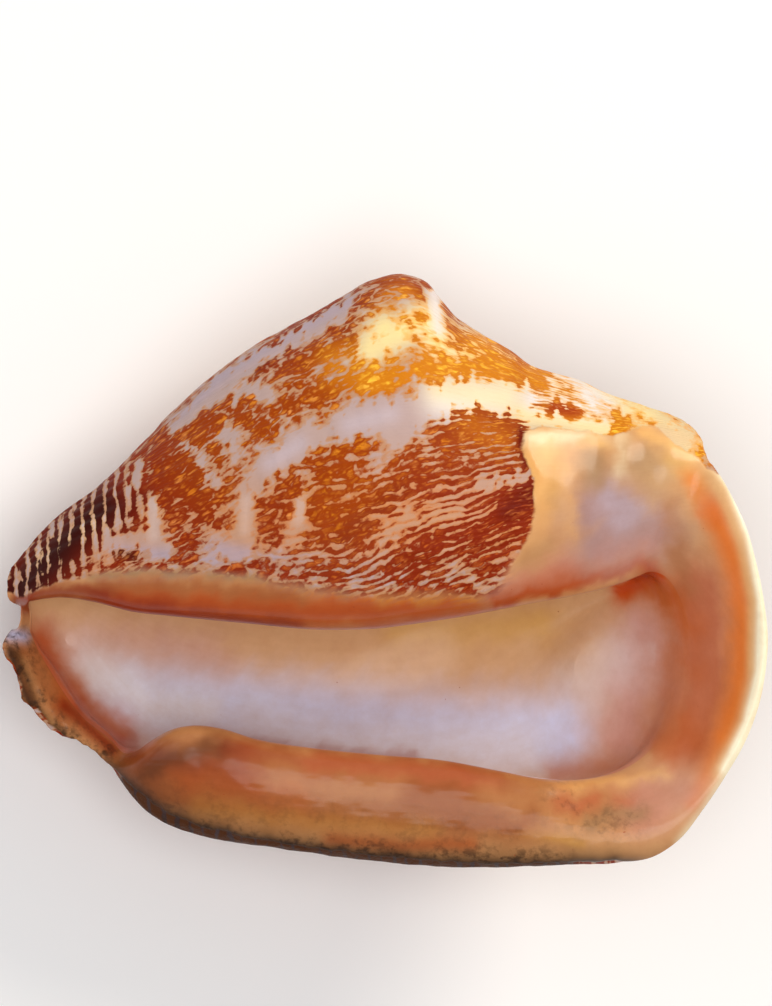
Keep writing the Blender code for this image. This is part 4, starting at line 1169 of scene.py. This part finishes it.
class CONCH_OT_shell(bpy.types.Operator):
    """Grow the shell and give it its material"""

    bl_idname = "conch.shell"
    bl_label = "Grow the shell"

    def execute(self, context):
        sizes, colours = context.scene.conch_sizes, context.scene.conch_colours
        palette = {name: np.array(getattr(colours, name)[:3]) for name in ShellColours.__annotations__}
        p, matrix, shift = rested(sizes.length)
        p = smoothed(p)
        to_rim, reach = -along_rows(p, BACK_ROW - 1), -along_rows(p, FACE_ROW - 1)
        fields = dress(p, to_rim, reach, palette)
        raised = p + grid_normals(p) * relief(p, to_rim, reach, fields)[..., None]
        mesh = bpy.data.meshes.new("dressed_shell")
        mesh.from_pydata(world_points(raised, matrix, shift).tolist(), [], grid_faces(*p.shape[:2]))
        for name, values in fields.items():
            store(mesh, name, values)
        mesh.polygons.foreach_set("use_smooth", np.ones(len(mesh.polygons), bool))
        mesh.materials.append(shell_material(sizes, colours))
        mesh.update()
        shell = put("dressed_shell", mesh)
        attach(shell, "root")
        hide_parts(NODE)
        return {"FINISHED"}


def area_light(name, power, place, size, colour):
    """A round soft lamp of this size, turned to the aim."""
    lamp = bpy.data.lights.new(name, "AREA")
    lamp.shape = "DISK"
    lamp.size = size
    lamp.energy = power
    lamp.color = colour
    holder = put(name, lamp)
    holder.location = place
    holder.rotation_euler = (Vector(AIM) - Vector(place)).to_track_quat("-Z", "Y").to_euler()


class CONCH_OT_stage(bpy.types.Operator):
    """Lay the floor, set the lights and place the camera"""

    bl_idname = "conch.stage"
    bl_label = "Set the stage"

    def execute(self, context):
        look, sizes = context.scene.conch_look, context.scene.conch_sizes
        mesh = bpy.data.meshes.new("floor")
        corners = [(x * FLOOR_HALF, y * FLOOR_HALF, 0) for x, y in ((-1, -1), (1, -1), (1, 1), (-1, 1))]
        mesh.from_pydata(corners, [], [(0, 1, 2, 3)])
        paper, shader, web = node_material("floor_paper")
        grain = web.noise(web.node("TexCoord").outputs["Object"], 0.05)
        tone = web.mix(web.step(grain, -1, 1, 0, 0.03), rgba(look.floor), rgba(srgb(225, 225, 225)))
        web.filled(shader, {"Base Color": tone, "Roughness": 0.8})
        mesh.materials.append(paper)
        floor = put("floor", mesh)

        for name, (place, size, colour) in LAMPS.items():
            area_light(name, getattr(look, name), place, size, colour)
        world = bpy.data.worlds.new("soft_sky")
        world.use_nodes = True
        Web(world.node_tree).filled(
            world.node_tree.nodes["Background"], {"Color": (1, 1, 1, 1), "Strength": look.sky})
        context.scene.world = world

        # The camera looks square to the mouth, so down on the shell.
        _, matrix, shift = rested(sizes.length)
        turn = np.array(matrix)[:3, :3]
        middle = turn @ np.array(PICTURE_MIDDLE) - shift
        axes = turn / np.linalg.norm(turn, axis=0)
        right, away, up = (Vector(axes[:, i]) for i in range(3))
        lens = bpy.data.cameras.new("camera")
        lens.sensor_width = 36.0
        lens.lens = lens.sensor_width * look.distance / (PICTURE_HEIGHT / 1000)
        lens.clip_end = 20.0
        camera = put("camera", lens)
        view = Matrix((right, up, -away)).transposed().to_4x4()
        view.translation = Vector(middle) - away * look.distance
        camera.matrix_world = view
        context.scene.camera = camera
        context.scene.view_settings.view_transform = "Standard"
        return {"FINISHED"}


class CONCH_PT_panel(bpy.types.Panel):
    """The operators, and the sizes and colours that they use"""

    bl_idname = "CONCH_PT_panel"
    bl_label = "Conch shell"
    bl_space_type = "VIEW_3D"
    bl_region_type = "UI"
    bl_category = "Shell"

    def draw(self, context):
        for operator in (CONCH_OT_shell, CONCH_OT_stage):
            self.layout.operator(operator.bl_idname)
        for group in (context.scene.conch_sizes, context.scene.conch_colours, context.scene.conch_look):
            box = self.layout.box()
            for name in type(group).__annotations__:
                box.prop(group, name)


CLASSES = (ShellSizes, ShellColours, StudioLook, CONCH_OT_shell, CONCH_OT_stage, CONCH_PT_panel)


def register():
    """Registers the classes and puts their settings on the scene."""
    for kind in CLASSES:
        bpy.utils.register_class(kind)
    bpy.types.Scene.conch_sizes = bpy.props.PointerProperty(type=ShellSizes)
    bpy.types.Scene.conch_colours = bpy.props.PointerProperty(type=ShellColours)
    bpy.types.Scene.conch_look = bpy.props.PointerProperty(type=StudioLook)


def unregister():
    """Takes the settings off the scene and the classes out again."""
    for name in ("conch_sizes", "conch_colours", "conch_look"):
        delattr(bpy.types.Scene, name)
    for kind in reversed(CLASSES):
        bpy.utils.unregister_class(kind)


def main():
    """Makes the shell and the stage."""
    register()
    bpy.ops.conch.shell()
    bpy.ops.conch.stage()
    bpy.context.view_layer.update()


if __name__ == "__main__":
    main()
